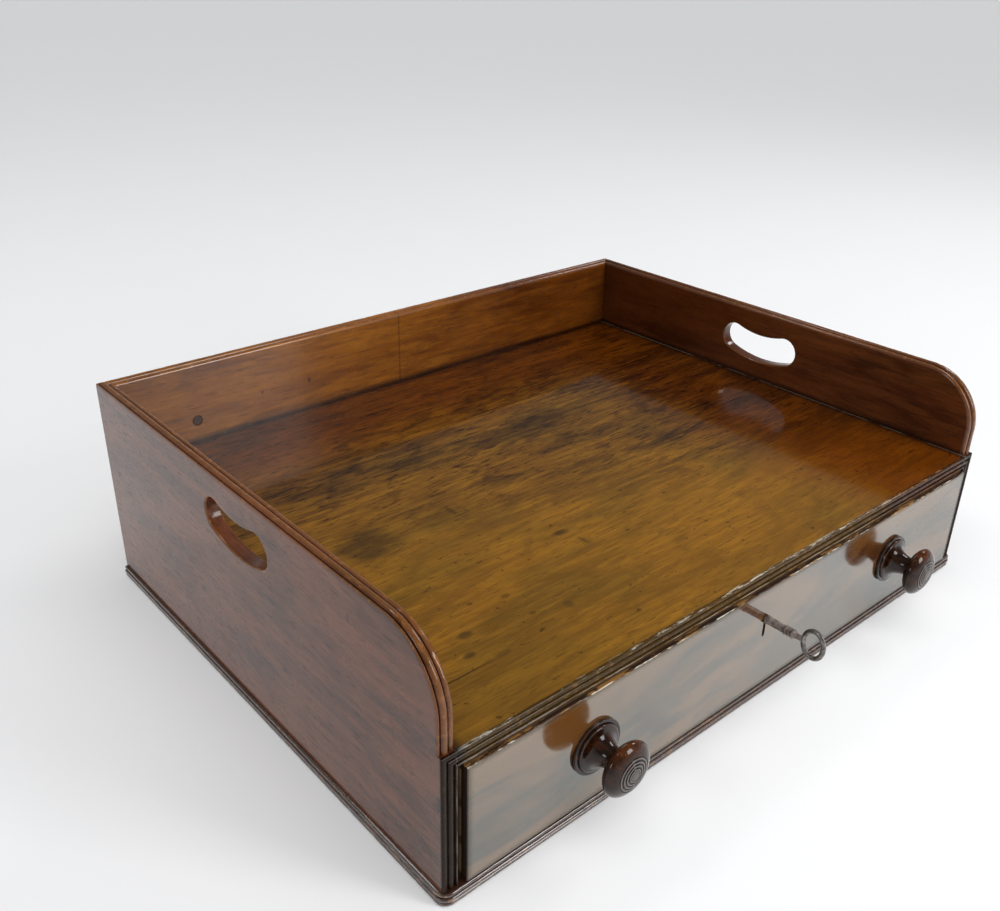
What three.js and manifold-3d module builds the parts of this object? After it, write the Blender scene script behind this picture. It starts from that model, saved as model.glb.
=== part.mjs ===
// Mahogany book tray: a low case with a full-width drawer below a tray that has a three-quarter
// gallery with hand holes. Millimetres, +Z up, +X to the right, the drawer faces -Y.
// The origin is the middle of the case on the underside of the base board.
import * as THREE from 'three';
import { mergeVertices } from 'three/addons/utils/BufferGeometryUtils.js';
import Module from 'manifold-3d';

const wasm = await Module();
wasm.setup();

// Driving dimensions of the case
const caseWidth = 500;
const caseDepth = 386;
const caseHeight = 157.5;
const trayHeight = 97;
const sideThickness = 10;
const backThickness = 10;
const trayThickness = 10;
const baseThickness = 8.5;
const baseOverhangSides = 2.5;
const baseOverhangFront = 3;
const baseCornerRadius = 7;
const baseCornerSteps = 6;
const galleryCornerRadius = 42;
const galleryCornerSteps = 12;
const gallerySetBack = 1.8;
const housingDepth = 4;
const housingWidth = 6;
const housingStop = 8;
const mitreGap = 0.3;

// Hand holes, each a slot bent about an arc so that its ends turn up
const handHoleLength = 73;
const handHoleHeight = 22.6;
const handHoleBendRadius = 80;
const handHoleMiddle = 124;
const handHoleRounding = 1.4;
const handHoleArcSteps = 8;

// Reeding on the board edges: a first, a centre and a last reed with quirks between them. The first
// and last lie lower than the centre reed by sunk, the quirks are cut to grooved, and the board's
// faces begin at shoulder.
const galleryReeds = { first: 1.2, last: 3.6, quirk: 0.5, sunk: 1, grooved: 1.9, shoulder: 3.6 };
const frameReeds = { first: 1.8, last: 3.2, quirk: 0.8, sunk: 0, grooved: 1.3, shoulder: 1.2 };
const baseReeds = { first: 2.4, last: 2.4, quirk: 0.5, sunk: 0.5, grooved: 1.5, shoulder: 2 };
const reedOverrun = 1;

// Drawer
const drawerFrontThickness = 18;
const drawerFrontProud = 2;
const drawerGapLeft = 3.8;
const drawerGapRight = 1.2;
const drawerGapTop = 1.5;
const drawerGapBelow = 0.8;
const drawerRunnerGap = 0.3;
const drawerDepth = 360;
const drawerSideThickness = 8;
const drawerSideDrop = 1.5;
const drawerBackThickness = 8;
const drawerBackDrop = 6;
const drawerBottomThickness = 5;
const drawerBottomRise = 5;
const grooveDepth = 3;
const frontLap = 5;
const tailCount = 3;
const tailRootHalf = 7.5;
const tailSlope = 1 / 6;
const jointFit = 0.3;
const stopSize = { width: 30, depth: 12, height: 4 };
const stopFromEnd = 100;

// Knobs, with heights measured from the drawer's face
const knobFromEnd = 102.5;
const knobTenonRadius = 6;
const knobFlangeRadius = 18;
const knobFlangeTop = 2.2;
const knobStepRadius = 15.2;
const knobStepTop = 3.8;
const knobHollowRadius = 13.4;
const knobNeckRadius = 6.4;
const knobHeadRadius = 16.8;
const knobHeadThickness = 14;
const knobProjection = 29.5;
const knobRingRadius = 10.4;
const knobRingSpacing = 2.7;
const knobRingCount = 3;
const knobRingDepth = 0.6;
const knobArris = 0.6;
const knobSegments = 28;

// Lock and key
const keyAxisHeight = 63;
const lockPlateThickness = 1.8;
const lockPlateWidth = 64;
const lockPlateBelowKey = 20;
const lockCaseWidth = 50;
const lockCaseDepth = 7.2;
const lockCaseBelowKey = 17;
const lockWall = 1.2;
const lockClearance = 0.7;
const boltHeadWidth = 26;
const boltThickness = 4.5;
const boltLugWidth = 42;
const boltLugBelowKey = 3;
const boltThrow = 6;
const springLeaf = 0.6;
const springSteps = 8;
const drillPinRadius = 1;
const drillPinReach = 9;
const keyBoreDepth = 10;
const keyShankRadius = 2.2;
const keyBitReach = 10.5;
const keyBitThickness = 1.8;
const keyBitWidth = 5.2;
const keyWardWidth = 1;
const keyWardDepth = 3.2;
const keyVisibleShank = 26;
const keyCollarStart = 14;
const keyCollarLength = 7.5;
const keyCollarRadius = 3;
const keyNeckRadius = 1.6;
const keyBowWire = 1.6;
const keyBowHalfLength = 8.4;
const keyBowHalfHeight = 10.9;
const keyholeRadius = 3;
const keyholeSlotWidth = 2.6;
const keyholeDrop = 13.5;
const caseKeyholeRadius = 2.6;
const caseKeyholeDrop = 11.2;

// Fasteners
const baseScrew = { headRadius: 3.6, headDepth: 2.6, shankRadius: 1.7, length: 30 };
const lockScrew = { headRadius: 2.4, headDepth: 1.5, shankRadius: 1.1, length: 10 };
const screwSlotWidth = 0.9;
const screwSlotDepth = 0.7;
const screwRecess = 0.4;
const screwSegments = 12;
const baseScrewSpread = 0.8;
const lockScrewEdge = 7;
const nailSize = { headRadius: 2, headThickness: 0.7, shankRadius: 0.9, length: 16 };
const plugRadius = 3.5;
const plugDepth = 5;
const plugFromEnd = 65;
const plugAboveTray = 16;

// How far a cutting body runs past what it cuts
const cut = 1;

// Places worked out from the driving dimensions
const halfWidth = caseWidth / 2;
const halfDepth = caseDepth / 2;
const innerHalf = halfWidth - sideThickness;
const backInner = halfDepth - backThickness;
const trayUnderside = trayHeight - trayThickness;
const galleryFront = -halfDepth + gallerySetBack;
const drawerLeft = -innerHalf + drawerGapLeft;
const drawerRight = innerHalf - drawerGapRight;
const drawerFace = -halfDepth - drawerFrontProud;
const drawerFrontBack = drawerFace + drawerFrontThickness;
const drawerEnd = drawerFace + drawerDepth;
const drawerFrontLow = baseThickness + drawerGapBelow;
const drawerFrontTop = trayUnderside - drawerGapTop;
const drawerSideLow = baseThickness + drawerRunnerGap;
const drawerSideTop = drawerFrontTop - drawerSideDrop;
const drawerBackFace = drawerEnd - drawerBackThickness;
const drawerBackTop = drawerSideTop - drawerBackDrop;
const bottomLow = drawerSideLow + drawerBottomRise;
const bottomTop = bottomLow + drawerBottomThickness;
const sideInnerLeft = drawerLeft + drawerSideThickness;
const sideInnerRight = drawerRight - drawerSideThickness;
const plateFace = drawerFrontBack - lockPlateThickness;
const caseFace = plateFace - lockCaseDepth;
const selvedgeLow = drawerFrontTop - lockPlateThickness;
const boltBack = plateFace - (lockCaseDepth - lockWall - boltThickness) / 2;
const boltFront = boltBack - boltThickness;
const boltLow = keyAxisHeight + keyBitReach + lockClearance - boltThrow;

// Materials
const darkMahogany = { color: 0x5a2f1e, roughness: 0.35, metalness: 0 };
const trayMahogany = { color: 0x7a4c22, roughness: 0.35, metalness: 0 };
const backMahogany = { color: 0x84481c, roughness: 0.35, metalness: 0 };
const turnedMahogany = { color: 0x34160c, roughness: 0.2, metalness: 0 };
const drawerLining = { color: 0x8d6a45, roughness: 0.7, metalness: 0 };
const lockIron = { color: 0x5c5650, roughness: 0.5, metalness: 0.9 };
const lockBrass = { color: 0x9c7a3c, roughness: 0.45, metalness: 0.9 };
const keySteel = { color: 0x7d746c, roughness: 0.35, metalness: 0.95 };

const tray = new THREE.Group();

function addPart(name, solid, finish) {
  const mesh = new THREE.Mesh(toGeometry(solid), new THREE.MeshStandardMaterial(finish));
  mesh.name = name;
  tray.add(mesh);
}

// A closed solid from three.js geometry
function toSolid(geometry) {
  const bare = geometry.clone();
  bare.deleteAttribute('normal');
  bare.deleteAttribute('uv');
  const merged = mergeVertices(bare, 1e-4);
  return new wasm.Manifold(new wasm.Mesh({
    numProp: 3,
    vertProperties: new Float32Array(merged.attributes.position.array),
    triVerts: new Uint32Array(merged.index.array),
  }));
}

// Three.js geometry from a finished solid
function toGeometry(solid) {
  const mesh = solid.getMesh();
  const geometry = new THREE.BufferGeometry();
  geometry.setAttribute('position', new THREE.BufferAttribute(mesh.vertProperties, 3));
  geometry.setIndex(new THREE.BufferAttribute(mesh.triVerts, 1));
  geometry.computeVertexNormals();
  return geometry;
}

function box(x0, x1, y0, y1, z0, z1) {
  const geometry = new THREE.BoxGeometry(x1 - x0, y1 - y0, z1 - z0);
  geometry.translate((x0 + x1) / 2, (y0 + y1) / 2, (z0 + z1) / 2);
  return toSolid(geometry);
}

function outline(points) {
  return new THREE.Shape(points.map(([a, b]) => new THREE.Vector2(a, b)));
}

// Each full arc of the shape is drawn with arcSteps chords
function extrude(shape, depth, arcSteps = 8) {
  return new THREE.ExtrudeGeometry(shape, { depth, bevelEnabled: false, curveSegments: arcSteps / 2 });
}

// An outline drawn in Y and Z, extruded along X
function alongX(shape, x0, x1, arcSteps) {
  const geometry = extrude(shape, x1 - x0, arcSteps);
  const turn = new THREE.Matrix4().makeBasis(
    new THREE.Vector3(0, 1, 0), new THREE.Vector3(0, 0, 1), new THREE.Vector3(1, 0, 0));
  geometry.applyMatrix4(turn);
  geometry.translate(x0, 0, 0);
  return toSolid(geometry);
}

// An outline drawn in X and Z, extruded along Y
function alongY(shape, y0, y1, arcSteps) {
  const geometry = extrude(shape, y1 - y0, arcSteps);
  geometry.rotateX(Math.PI / 2);
  geometry.translate(0, y1, 0);
  return toSolid(geometry);
}

// An outline drawn in X and Y, extruded along Z
function alongZ(shape, z0, z1, arcSteps) {
  const geometry = extrude(shape, z1 - z0, arcSteps);
  geometry.translate(0, 0, z0);
  return toSolid(geometry);
}

// A profile of [radius, height] pairs turned about the direction through a place
function turned(profile, place, direction, segments) {
  const points = profile.map(([radius, height]) => new THREE.Vector2(radius, height));
  const geometry = new THREE.LatheGeometry(points, segments);
  const turn = new THREE.Quaternion().setFromUnitVectors(new THREE.Vector3(0, 1, 0), direction);
  geometry.applyQuaternion(turn);
  geometry.translate(place.x, place.y, place.z);
  return toSolid(geometry);
}

function cylinder(radius, place, direction, length, segments = 16) {
  return turned([[0, 0], [radius, 0], [radius, length], [0, length]], place, direction, segments);
}

const towardFront = new THREE.Vector3(0, -1, 0);
const towardBack = new THREE.Vector3(0, 1, 0);
const upward = new THREE.Vector3(0, 0, 1);
const rightward = new THREE.Vector3(1, 0, 0);

// A quarter of an ellipse as [across, depth] pairs, rising to its crown or falling from it
function quarter(fromAcross, fromDepth, toAcross, toDepth, rising, steps = 3) {
  const points = [];
  for (let i = 0; i <= steps; i += 1) {
    const angle = (i / steps) * Math.PI / 2;
    const along = rising ? 1 - Math.cos(angle) : Math.sin(angle);
    const up = rising ? Math.sin(angle) : 1 - Math.cos(angle);
    points.push([fromAcross + (toAcross - fromAcross) * along, fromDepth + (toDepth - fromDepth) * up]);
  }
  return points;
}

// The reeded edge as [across, depth] pairs over a board's thickness
function reedProfile(thickness, { first, last, quirk, sunk, grooved, shoulder }) {
  const centreStart = first + quirk;
  const lastStart = thickness - last;
  const centreEnd = lastStart - quirk;
  const centre = (centreStart + centreEnd) / 2;
  return [
    ...quarter(0, shoulder, first / 2, sunk, true),
    ...quarter(first / 2, sunk, first, grooved, false).slice(1),
    ...quarter(centreStart, grooved, centre, 0, true, 4),
    ...quarter(centre, 0, centreEnd, grooved, false, 4).slice(1),
    ...quarter(lastStart, grooved, lastStart + last / 2, sunk, true),
    ...quarter(lastStart + last / 2, sunk, thickness, shoulder, false).slice(1),
  ];
}

// A solid from the triangles of a closed skin, turned over where they face inwards
function skinSolid(points, index) {
  const positions = points.flatMap((point) => [point.x, point.y, point.z]);
  const geometry = new THREE.BufferGeometry();
  geometry.setAttribute('position', new THREE.BufferAttribute(new Float32Array(positions), 3));
  geometry.setIndex(index);
  const solid = toSolid(geometry);
  if (solid.volume() > 0) return solid;
  const turnedOver = [];
  for (let i = 0; i < index.length; i += 3) turnedOver.push(index[i], index[i + 2], index[i + 1]);
  geometry.setIndex(turnedOver);
  return toSolid(geometry);
}

// A closed skin over rings of points that all follow the same outline
function loft(rings, flatOutline) {
  const count = rings[0].length;
  const index = [];
  for (let s = 0; s + 1 < rings.length; s += 1) {
    for (let i = 0; i < count; i += 1) {
      const a = s * count + i;
      const b = s * count + (i + 1) % count;
      index.push(a, b, b + count, a, b + count, a + count);
    }
  }
  const lastRing = (rings.length - 1) * count;
  const flat = flatOutline.map(([a, b]) => new THREE.Vector2(a, b));
  const turnsLeft = THREE.ShapeUtils.area(flat) > 0;
  for (const [a, b, c] of THREE.ShapeUtils.triangulateShape(flat, [])) {
    const [second, third] = turnsLeft ? [c, b] : [b, c];
    index.push(a, second, third);
    index.push(lastRing + a, lastRing + third, lastRing + second);
  }
  return skinSolid(rings.flat(), index);
}

// What a reeding plane takes away: the profile carried through stations that each hold a point on
// the board's face, the vector across its edge, and the outward direction.
function reedCutter(stations, thickness, reeds, overFirst = cut, overLast = cut) {
  const profile = reedProfile(thickness, reeds);
  const first = [-overFirst, profile[0][1]];
  const last = [thickness + overLast, profile[profile.length - 1][1]];
  const ring = [first, ...profile, last, [last[0], -cut], [first[0], -cut]];
  const rings = stations.map(({ at, across, out }) => ring.map(([step, depth]) => (
    at.clone().addScaledVector(across, step / thickness).addScaledVector(out, -depth))));
  return loft(rings, ring);
}

// Boards of the case

function sideOutline() {
  const shape = new THREE.Shape();
  shape.moveTo(halfDepth, baseThickness);
  shape.lineTo(halfDepth, caseHeight);
  shape.lineTo(galleryFront + galleryCornerRadius, caseHeight);
  const arcY = galleryFront + galleryCornerRadius;
  const arcZ = caseHeight - galleryCornerRadius;
  shape.absarc(arcY, arcZ, galleryCornerRadius, Math.PI / 2, Math.PI, false);
  shape.lineTo(galleryFront, trayHeight);
  shape.lineTo(-halfDepth, trayHeight);
  shape.lineTo(-halfDepth, baseThickness);
  return shape;
}

// Reeding along the top of a side, round its front corner and down to the tray
function galleryReeding(outerX, inward) {
  const across = new THREE.Vector3(inward * sideThickness, 0, 0);
  const station = (y, z, out) => ({ at: new THREE.Vector3(outerX, y, z), across, out });
  const stations = [station(halfDepth + reedOverrun, caseHeight, upward)];
  for (let i = 0; i <= galleryCornerSteps; i += 1) {
    const angle = Math.PI / 2 * (1 + i / galleryCornerSteps);
    const out = new THREE.Vector3(0, Math.cos(angle), Math.sin(angle));
    const y = galleryFront + galleryCornerRadius * (1 + Math.cos(angle));
    const z = caseHeight - galleryCornerRadius * (1 - Math.sin(angle));
    stations.push(station(y, z, out));
  }
  stations.push(station(galleryFront, trayHeight, towardFront));
  return reedCutter(stations, sideThickness, galleryReeds);
}

// Reeding that frames the drawer: up one side, mitred across the tray board and down the other
function frameReeding() {
  const corner = (sign, low) => ({
    at: new THREE.Vector3(sign * innerHalf, -halfDepth, low ? baseThickness - cut : trayUnderside),
    across: new THREE.Vector3(sign * sideThickness, 0, low ? 0 : trayThickness),
    out: towardFront,
  });
  const stations = [corner(-1, true), corner(-1, false), corner(1, false), corner(1, true)];
  return reedCutter(stations, trayThickness, frameReeds, cut, 0);
}

// Points along an arc, without its last one
function arc(y, z, radius, from, to, steps) {
  const points = [];
  for (let i = 0; i < steps; i += 1) {
    const angle = from + (to - from) * (i / steps);
    points.push([y + radius * Math.cos(angle), z + radius * Math.sin(angle)]);
  }
  return points;
}

// The hand hole's outline grown by an amount: a slot bent about a centre above it
function handHoleOutline(grow) {
  const half = handHoleHeight / 2;
  const bendZ = handHoleMiddle + handHoleBendRadius;
  const turn = Math.asin((handHoleLength / 2 - half) / handHoleBendRadius);
  const endY = handHoleBendRadius * Math.sin(turn);
  const endZ = bendZ - handHoleBendRadius * Math.cos(turn);
  const down = -Math.PI / 2;
  const endRadius = half + grow;
  const steps = handHoleArcSteps;
  return [
    ...arc(0, bendZ, handHoleBendRadius + endRadius, down - turn, down + turn, steps),
    ...arc(endY, endZ, endRadius, down + turn, down + turn + Math.PI, steps),
    ...arc(0, bendZ, handHoleBendRadius - endRadius, down + turn, down - turn, steps),
    ...arc(-endY, endZ, endRadius, -down - turn, Math.PI - down - turn, steps),
  ];
}

// The hole through a side, its rims softened on both faces
function handHole(faceX, inward) {
  const soft = handHoleRounding;
  const sections = [[-cut, soft], ...quarter(0, soft, soft, 0, true, 2)];
  const far = [...sections].reverse().map(([depth, grow]) => [sideThickness - depth, grow]);
  const rings = [...sections, ...far].map(([depth, grow]) => (
    handHoleOutline(grow).map(([y, z]) => new THREE.Vector3(faceX + inward * depth, y, z))));
  return loft(rings, handHoleOutline(0));
}

// A wedge at a back corner, behind the mitre line for a side and in front of it for the back board
function mitreWedge(sign, away) {
  const at = (share) => [
    sign * (halfWidth - sideThickness * share),
    halfDepth - backThickness * share - away * mitreGap / 2,
  ];
  const outer = at(-0.5);
  const inner = at(1.5);
  const limit = away > 0 ? outer[1] + cut : inner[1] - cut;
  const points = [outer, inner, [inner[0], limit], [outer[0], limit]];
  return alongZ(outline(points), baseThickness - cut, caseHeight + cut);
}

// The tray board's body with the tongue that sits in the sides' and back's housings
function trayBlank() {
  const x = innerHalf + housingDepth;
  const board = box(-innerHalf, innerHalf, -halfDepth, backInner, trayUnderside, trayHeight);
  return board.add(box(-x, x, -halfDepth + housingStop, backInner + housingDepth,
    trayUnderside, trayUnderside + housingWidth));
}

// Screws that hold the base board up to the sides and the back
const baseScrewPlaces = [
  ...[-1, 1].flatMap((sign) => [-baseScrewSpread, 0, baseScrewSpread].map((share) => (
    new THREE.Vector3(sign * (halfWidth - sideThickness / 2), share * backInner, screwRecess)))),
  ...[-1, 1].map((sign) => (
    new THREE.Vector3(sign * caseWidth / 4, halfDepth - backThickness / 2, screwRecess))),
];

// A countersunk screw with a pointed end, or its hole when a fit is given
function screwProfile({ headRadius, headDepth, shankRadius, length }, fit = 0) {
  const start = fit > 0 ? [[0, -cut], [headRadius + fit, -cut]] : [[0, 0]];
  return [
    ...start, [headRadius + fit, 0], [shankRadius + fit, headDepth],
    [shankRadius + fit, length - 2 * shankRadius], [0, length + 2 * fit],
  ];
}

function slottedScrew(screw, place, direction) {
  const slotLength = screw.headRadius * 2;
  const slot = direction.y
    ? new THREE.BoxGeometry(slotLength, screwSlotDepth * 2, screwSlotWidth)
    : new THREE.BoxGeometry(slotLength, screwSlotWidth, screwSlotDepth * 2);
  slot.translate(place.x, place.y, place.z);
  return turned(screwProfile(screw), place, direction, screwSegments).subtract(toSolid(slot));
}

function withScrewHoles(solid, screw, places, direction) {
  const profile = screwProfile(screw, jointFit);
  return places.reduce((rest, place) => (
    rest.subtract(turned(profile, place, direction, screwSegments))), solid);
}

function withBaseScrewHoles(solid) {
  return withScrewHoles(solid, baseScrew, baseScrewPlaces, upward);
}

function baseBoard() {
  const x = halfWidth + baseOverhangSides;
  const front = -halfDepth - baseOverhangFront;
  const radius = baseCornerRadius;
  const shape = new THREE.Shape();
  shape.moveTo(x, halfDepth);
  shape.lineTo(-x, halfDepth);
  shape.lineTo(-x, front + radius);
  shape.absarc(-x + radius, front + radius, radius, Math.PI, 1.5 * Math.PI, false);
  shape.absarc(x - radius, front + radius, radius, 1.5 * Math.PI, 2 * Math.PI, false);
  const across = new THREE.Vector3(0, 0, baseThickness);
  const station = (px, py, out) => ({ at: new THREE.Vector3(px, py, 0), across, out });
  const stations = [station(-x, halfDepth + reedOverrun, rightward.clone().negate())];
  for (const sign of [-1, 1]) {
    const startAngle = sign < 0 ? Math.PI : 1.5 * Math.PI;
    for (let i = 0; i <= baseCornerSteps; i += 1) {
      const angle = startAngle + (i / baseCornerSteps) * Math.PI / 2;
      const out = new THREE.Vector3(Math.cos(angle), Math.sin(angle), 0);
      stations.push(station(sign * (x - radius) + radius * out.x, front + radius + radius * out.y, out));
    }
  }
  stations.push(station(x, halfDepth + reedOverrun, rightward));
  const board = alongZ(shape, 0, baseThickness, baseCornerSteps);
  return withBaseScrewHoles(board.subtract(reedCutter(stations, baseThickness, baseReeds)));
}

function sideBoard(sign) {
  const outerX = sign * halfWidth;
  const innerX = sign * innerHalf;
  const board = alongX(
    sideOutline(), Math.min(outerX, innerX), Math.max(outerX, innerX), galleryCornerSteps);
  return withBaseScrewHoles(board
    .subtract(galleryReeding(outerX, -sign))
    .subtract(frameReeding())
    .subtract(handHole(outerX, -sign))
    .subtract(trayBlank())
    .subtract(mitreWedge(sign, 1)));
}

function backBoard() {
  const across = new THREE.Vector3(0, -backThickness, 0);
  const stations = [-1, 1].map((sign) => ({
    at: new THREE.Vector3(sign * (halfWidth + reedOverrun), halfDepth, caseHeight), across, out: upward,
  }));
  const board = box(-halfWidth, halfWidth, backInner, halfDepth, baseThickness, caseHeight);
  const plugHole = cylinder(plugRadius + jointFit, plugPlace, towardBack, plugDepth + jointFit);
  return withBaseScrewHoles(board
    .subtract(reedCutter(stations, backThickness, galleryReeds))
    .subtract(trayBlank())
    .subtract(plugHole)
    .subtract(mitreWedge(-1, -1))
    .subtract(mitreWedge(1, -1)));
}

// The wooden plug low down at the left of the back board's inner face
const plugPlace = new THREE.Vector3(plugFromEnd - halfWidth, backInner, trayHeight + plugAboveTray);

function backPlug() {
  return cylinder(plugRadius, plugPlace, towardBack, plugDepth);
}

// The tray board has a blind mortise below that takes the bolt when the drawer is locked
function trayBoard() {
  const x = boltHeadWidth / 2 + 2 * jointFit;
  const mortiseDepth = boltThrow - drawerGapTop + lockClearance;
  const mortise = box(-x, x, boltFront - 2 * jointFit, boltBack + 2 * jointFit,
    trayUnderside - cut, trayUnderside + mortiseDepth);
  return trayBlank().subtract(frameReeding()).subtract(mortise);
}

function drawerStop(sign) {
  const x = sign * (halfWidth - stopFromEnd);
  const y = drawerFrontBack + jointFit;
  return box(x - stopSize.width / 2, x + stopSize.width / 2, y, y + stopSize.depth,
    baseThickness, baseThickness + stopSize.height);
}

// One dovetail in Y and Z, widening from its root to its end. With a fit it is the socket's cutter.
function tail(rootY, endY, z, fit) {
  const toward = Math.sign(endY - rootY);
  const behind = fit > 0 ? -cut : 0;
  const length = Math.abs(endY - rootY) + fit;
  const corner = (along, sign) => (
    [rootY + toward * along, z + sign * (tailRootHalf + fit + along * tailSlope)]);
  return outline([corner(behind, -1), corner(length, -1), corner(length, 1), corner(behind, 1)]);
}

// A row of dovetails spaced evenly over a board's height
function tails(x0, x1, rootY, endY, low, high, fit) {
  const pitch = (high - low) / tailCount;
  let joined;
  for (let i = 0; i < tailCount; i += 1) {
    const one = alongX(tail(rootY, endY, low + pitch * (i + 0.5), fit), x0, x1);
    joined = joined ? joined.add(one) : one;
  }
  return joined;
}

const frontTailEnd = drawerFace + frontLap + jointFit;

function frontTails(x0, x1, fit) {
  return tails(x0, x1, drawerFrontBack, frontTailEnd, drawerFrontLow, drawerSideTop, fit);
}

function backTails(x0, x1, fit) {
  return tails(x0, x1, drawerBackFace, drawerEnd, bottomTop, drawerBackTop, fit);
}

function drawerSide(sign) {
  const [x0, x1] = sign < 0 ? [drawerLeft, sideInnerLeft] : [sideInnerRight, drawerRight];
  const innerX = sign < 0 ? x1 : x0;
  const groove = box(innerX - grooveDepth, innerX + grooveDepth, drawerFrontBack - cut, drawerEnd + cut,
    bottomLow, bottomTop);
  return box(x0, x1, drawerFrontBack, drawerBackFace, drawerSideLow, drawerSideTop)
    .add(box(x0, x1, drawerBackFace - cut, drawerEnd, drawerSideLow, bottomTop))
    .add(frontTails(x0, x1, 0))
    .add(backTails(x0, x1, 0))
    .subtract(groove);
}

function drawerBack() {
  const openLeft = [drawerLeft - cut, sideInnerLeft];
  const openRight = [sideInnerRight, drawerRight + cut];
  return bottomNailPlaces.reduce((rest, place) => rest.subtract(nailHole(place)),
    box(drawerLeft, drawerRight, drawerBackFace, drawerEnd, bottomTop, drawerBackTop)
      .subtract(backTails(...openLeft, jointFit))
      .subtract(backTails(...openRight, jointFit)));
}

function drawerBottom() {
  const x0 = sideInnerLeft - grooveDepth;
  const x1 = sideInnerRight + grooveDepth;
  const tongue = box(sideInnerLeft + jointFit, sideInnerRight - jointFit, drawerFrontBack - grooveDepth,
    drawerFrontBack + cut, bottomLow, bottomTop);
  const board = box(x0, x1, drawerFrontBack, drawerEnd, bottomLow, bottomTop).add(tongue);
  return bottomNailPlaces.reduce((rest, place) => rest.subtract(nailHole(place)), board);
}

// Nails driven up through the drawer bottom into the drawer back
const bottomNailPlaces = [-1, 0, 1].map((share) => new THREE.Vector3(
  share * caseWidth / 4, drawerEnd - drawerBackThickness / 2, bottomLow));

function nail(place) {
  const { headRadius, headThickness, shankRadius, length } = nailSize;
  const profile = [
    [0, -headThickness], [headRadius, -headThickness], [headRadius, 0],
    [shankRadius, 0], [shankRadius, length - 2 * shankRadius], [0, length],
  ];
  return turned(profile, place, upward, screwSegments);
}

function nailHole(place) {
  const start = place.clone().addScaledVector(upward, -cut);
  const length = nailSize.length + cut + jointFit;
  return cylinder(nailSize.shankRadius + jointFit, start, upward, length, screwSegments);
}

// A keyhole in X and Z: a round top with a slot below for the bit
function keyholeOutline(radius, slotWidth, drop) {
  const half = slotWidth / 2;
  const side = Math.asin(half / radius);
  const shape = new THREE.Shape();
  shape.moveTo(-half, keyAxisHeight - drop + half);
  shape.absarc(0, keyAxisHeight - drop + half, half, Math.PI, 2 * Math.PI, false);
  shape.absarc(0, keyAxisHeight, radius, -Math.PI / 2 + side, 1.5 * Math.PI - side, false);
  return shape;
}

function knobPlace(sign) {
  const z = (drawerFrontLow + drawerFrontTop) / 2;
  return new THREE.Vector3(sign * (halfWidth - knobFromEnd), drawerFace, z);
}

// Screws through the ears of the lock's back plate
const lockScrewPlaces = [-1, 1].flatMap((sign) => (
  [keyAxisHeight - lockPlateBelowKey + lockScrewEdge, drawerFrontTop - lockScrewEdge].map((z) => (
    new THREE.Vector3(sign * (lockCaseWidth + lockPlateWidth) / 4, drawerFrontBack - screwRecess, z)))));

function withLockScrewHoles(solid) {
  return withScrewHoles(solid, lockScrew, lockScrewPlaces, towardFront);
}

function drawerFront() {
  const front = box(drawerLeft, drawerRight, drawerFace, drawerFrontBack, drawerFrontLow, drawerFrontTop);
  const groove = box(sideInnerLeft, sideInnerRight, drawerFrontBack - grooveDepth, drawerFrontBack + cut,
    bottomLow, bottomTop);
  const plateHalf = lockPlateWidth / 2;
  const caseHalf = lockCaseWidth / 2 + jointFit;
  const plateSeat = box(-plateHalf, plateHalf, plateFace, drawerFrontBack + cut,
    keyAxisHeight - lockPlateBelowKey, drawerFrontTop + cut);
  const caseSeat = box(-caseHalf, caseHalf, caseFace - jointFit, drawerFrontBack + cut,
    keyAxisHeight - lockCaseBelowKey - jointFit, drawerFrontTop + cut);
  const selvedgeSeat = box(-plateHalf, plateHalf, caseFace - jointFit, drawerFrontBack + cut,
    selvedgeLow, drawerFrontTop + cut);
  const keyhole = alongY(keyholeOutline(keyholeRadius, keyholeSlotWidth, keyholeDrop),
    drawerFace - cut, drawerFrontBack, 8);
  let worked = front.subtract(groove).subtract(plateSeat).subtract(caseSeat).subtract(selvedgeSeat)
    .subtract(keyhole)
    .subtract(frontTails(drawerLeft - cut, sideInnerLeft, jointFit))
    .subtract(frontTails(sideInnerRight, drawerRight + cut, jointFit));
  for (const sign of [-1, 1]) {
    const start = knobPlace(sign).addScaledVector(towardFront, cut);
    worked = worked.subtract(cylinder(knobTenonRadius + jointFit, start, towardBack,
      drawerFrontThickness + 2 * cut));
  }
  return withLockScrewHoles(worked);
}

// The knob's tenon and flange, up to where the hollow of its neck begins
function knobFoot() {
  return [
    [0, -drawerFrontThickness], [knobTenonRadius, -drawerFrontThickness], [knobTenonRadius, 0],
    [knobFlangeRadius - knobArris, 0], [knobFlangeRadius, knobArris],
    [knobFlangeRadius, knobFlangeTop - knobArris], [knobFlangeRadius - knobArris, knobFlangeTop],
    [knobStepRadius, knobFlangeTop], [knobStepRadius, knobStepTop - knobArris],
    [knobStepRadius - knobArris, knobStepTop],
  ];
}

// Height of the knob's domed face at a radius
function knobFaceHeight(radius) {
  const half = knobHeadThickness / 2;
  return knobProjection - half + half * Math.sqrt(1 - (radius / knobHeadRadius) ** 2);
}

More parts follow.
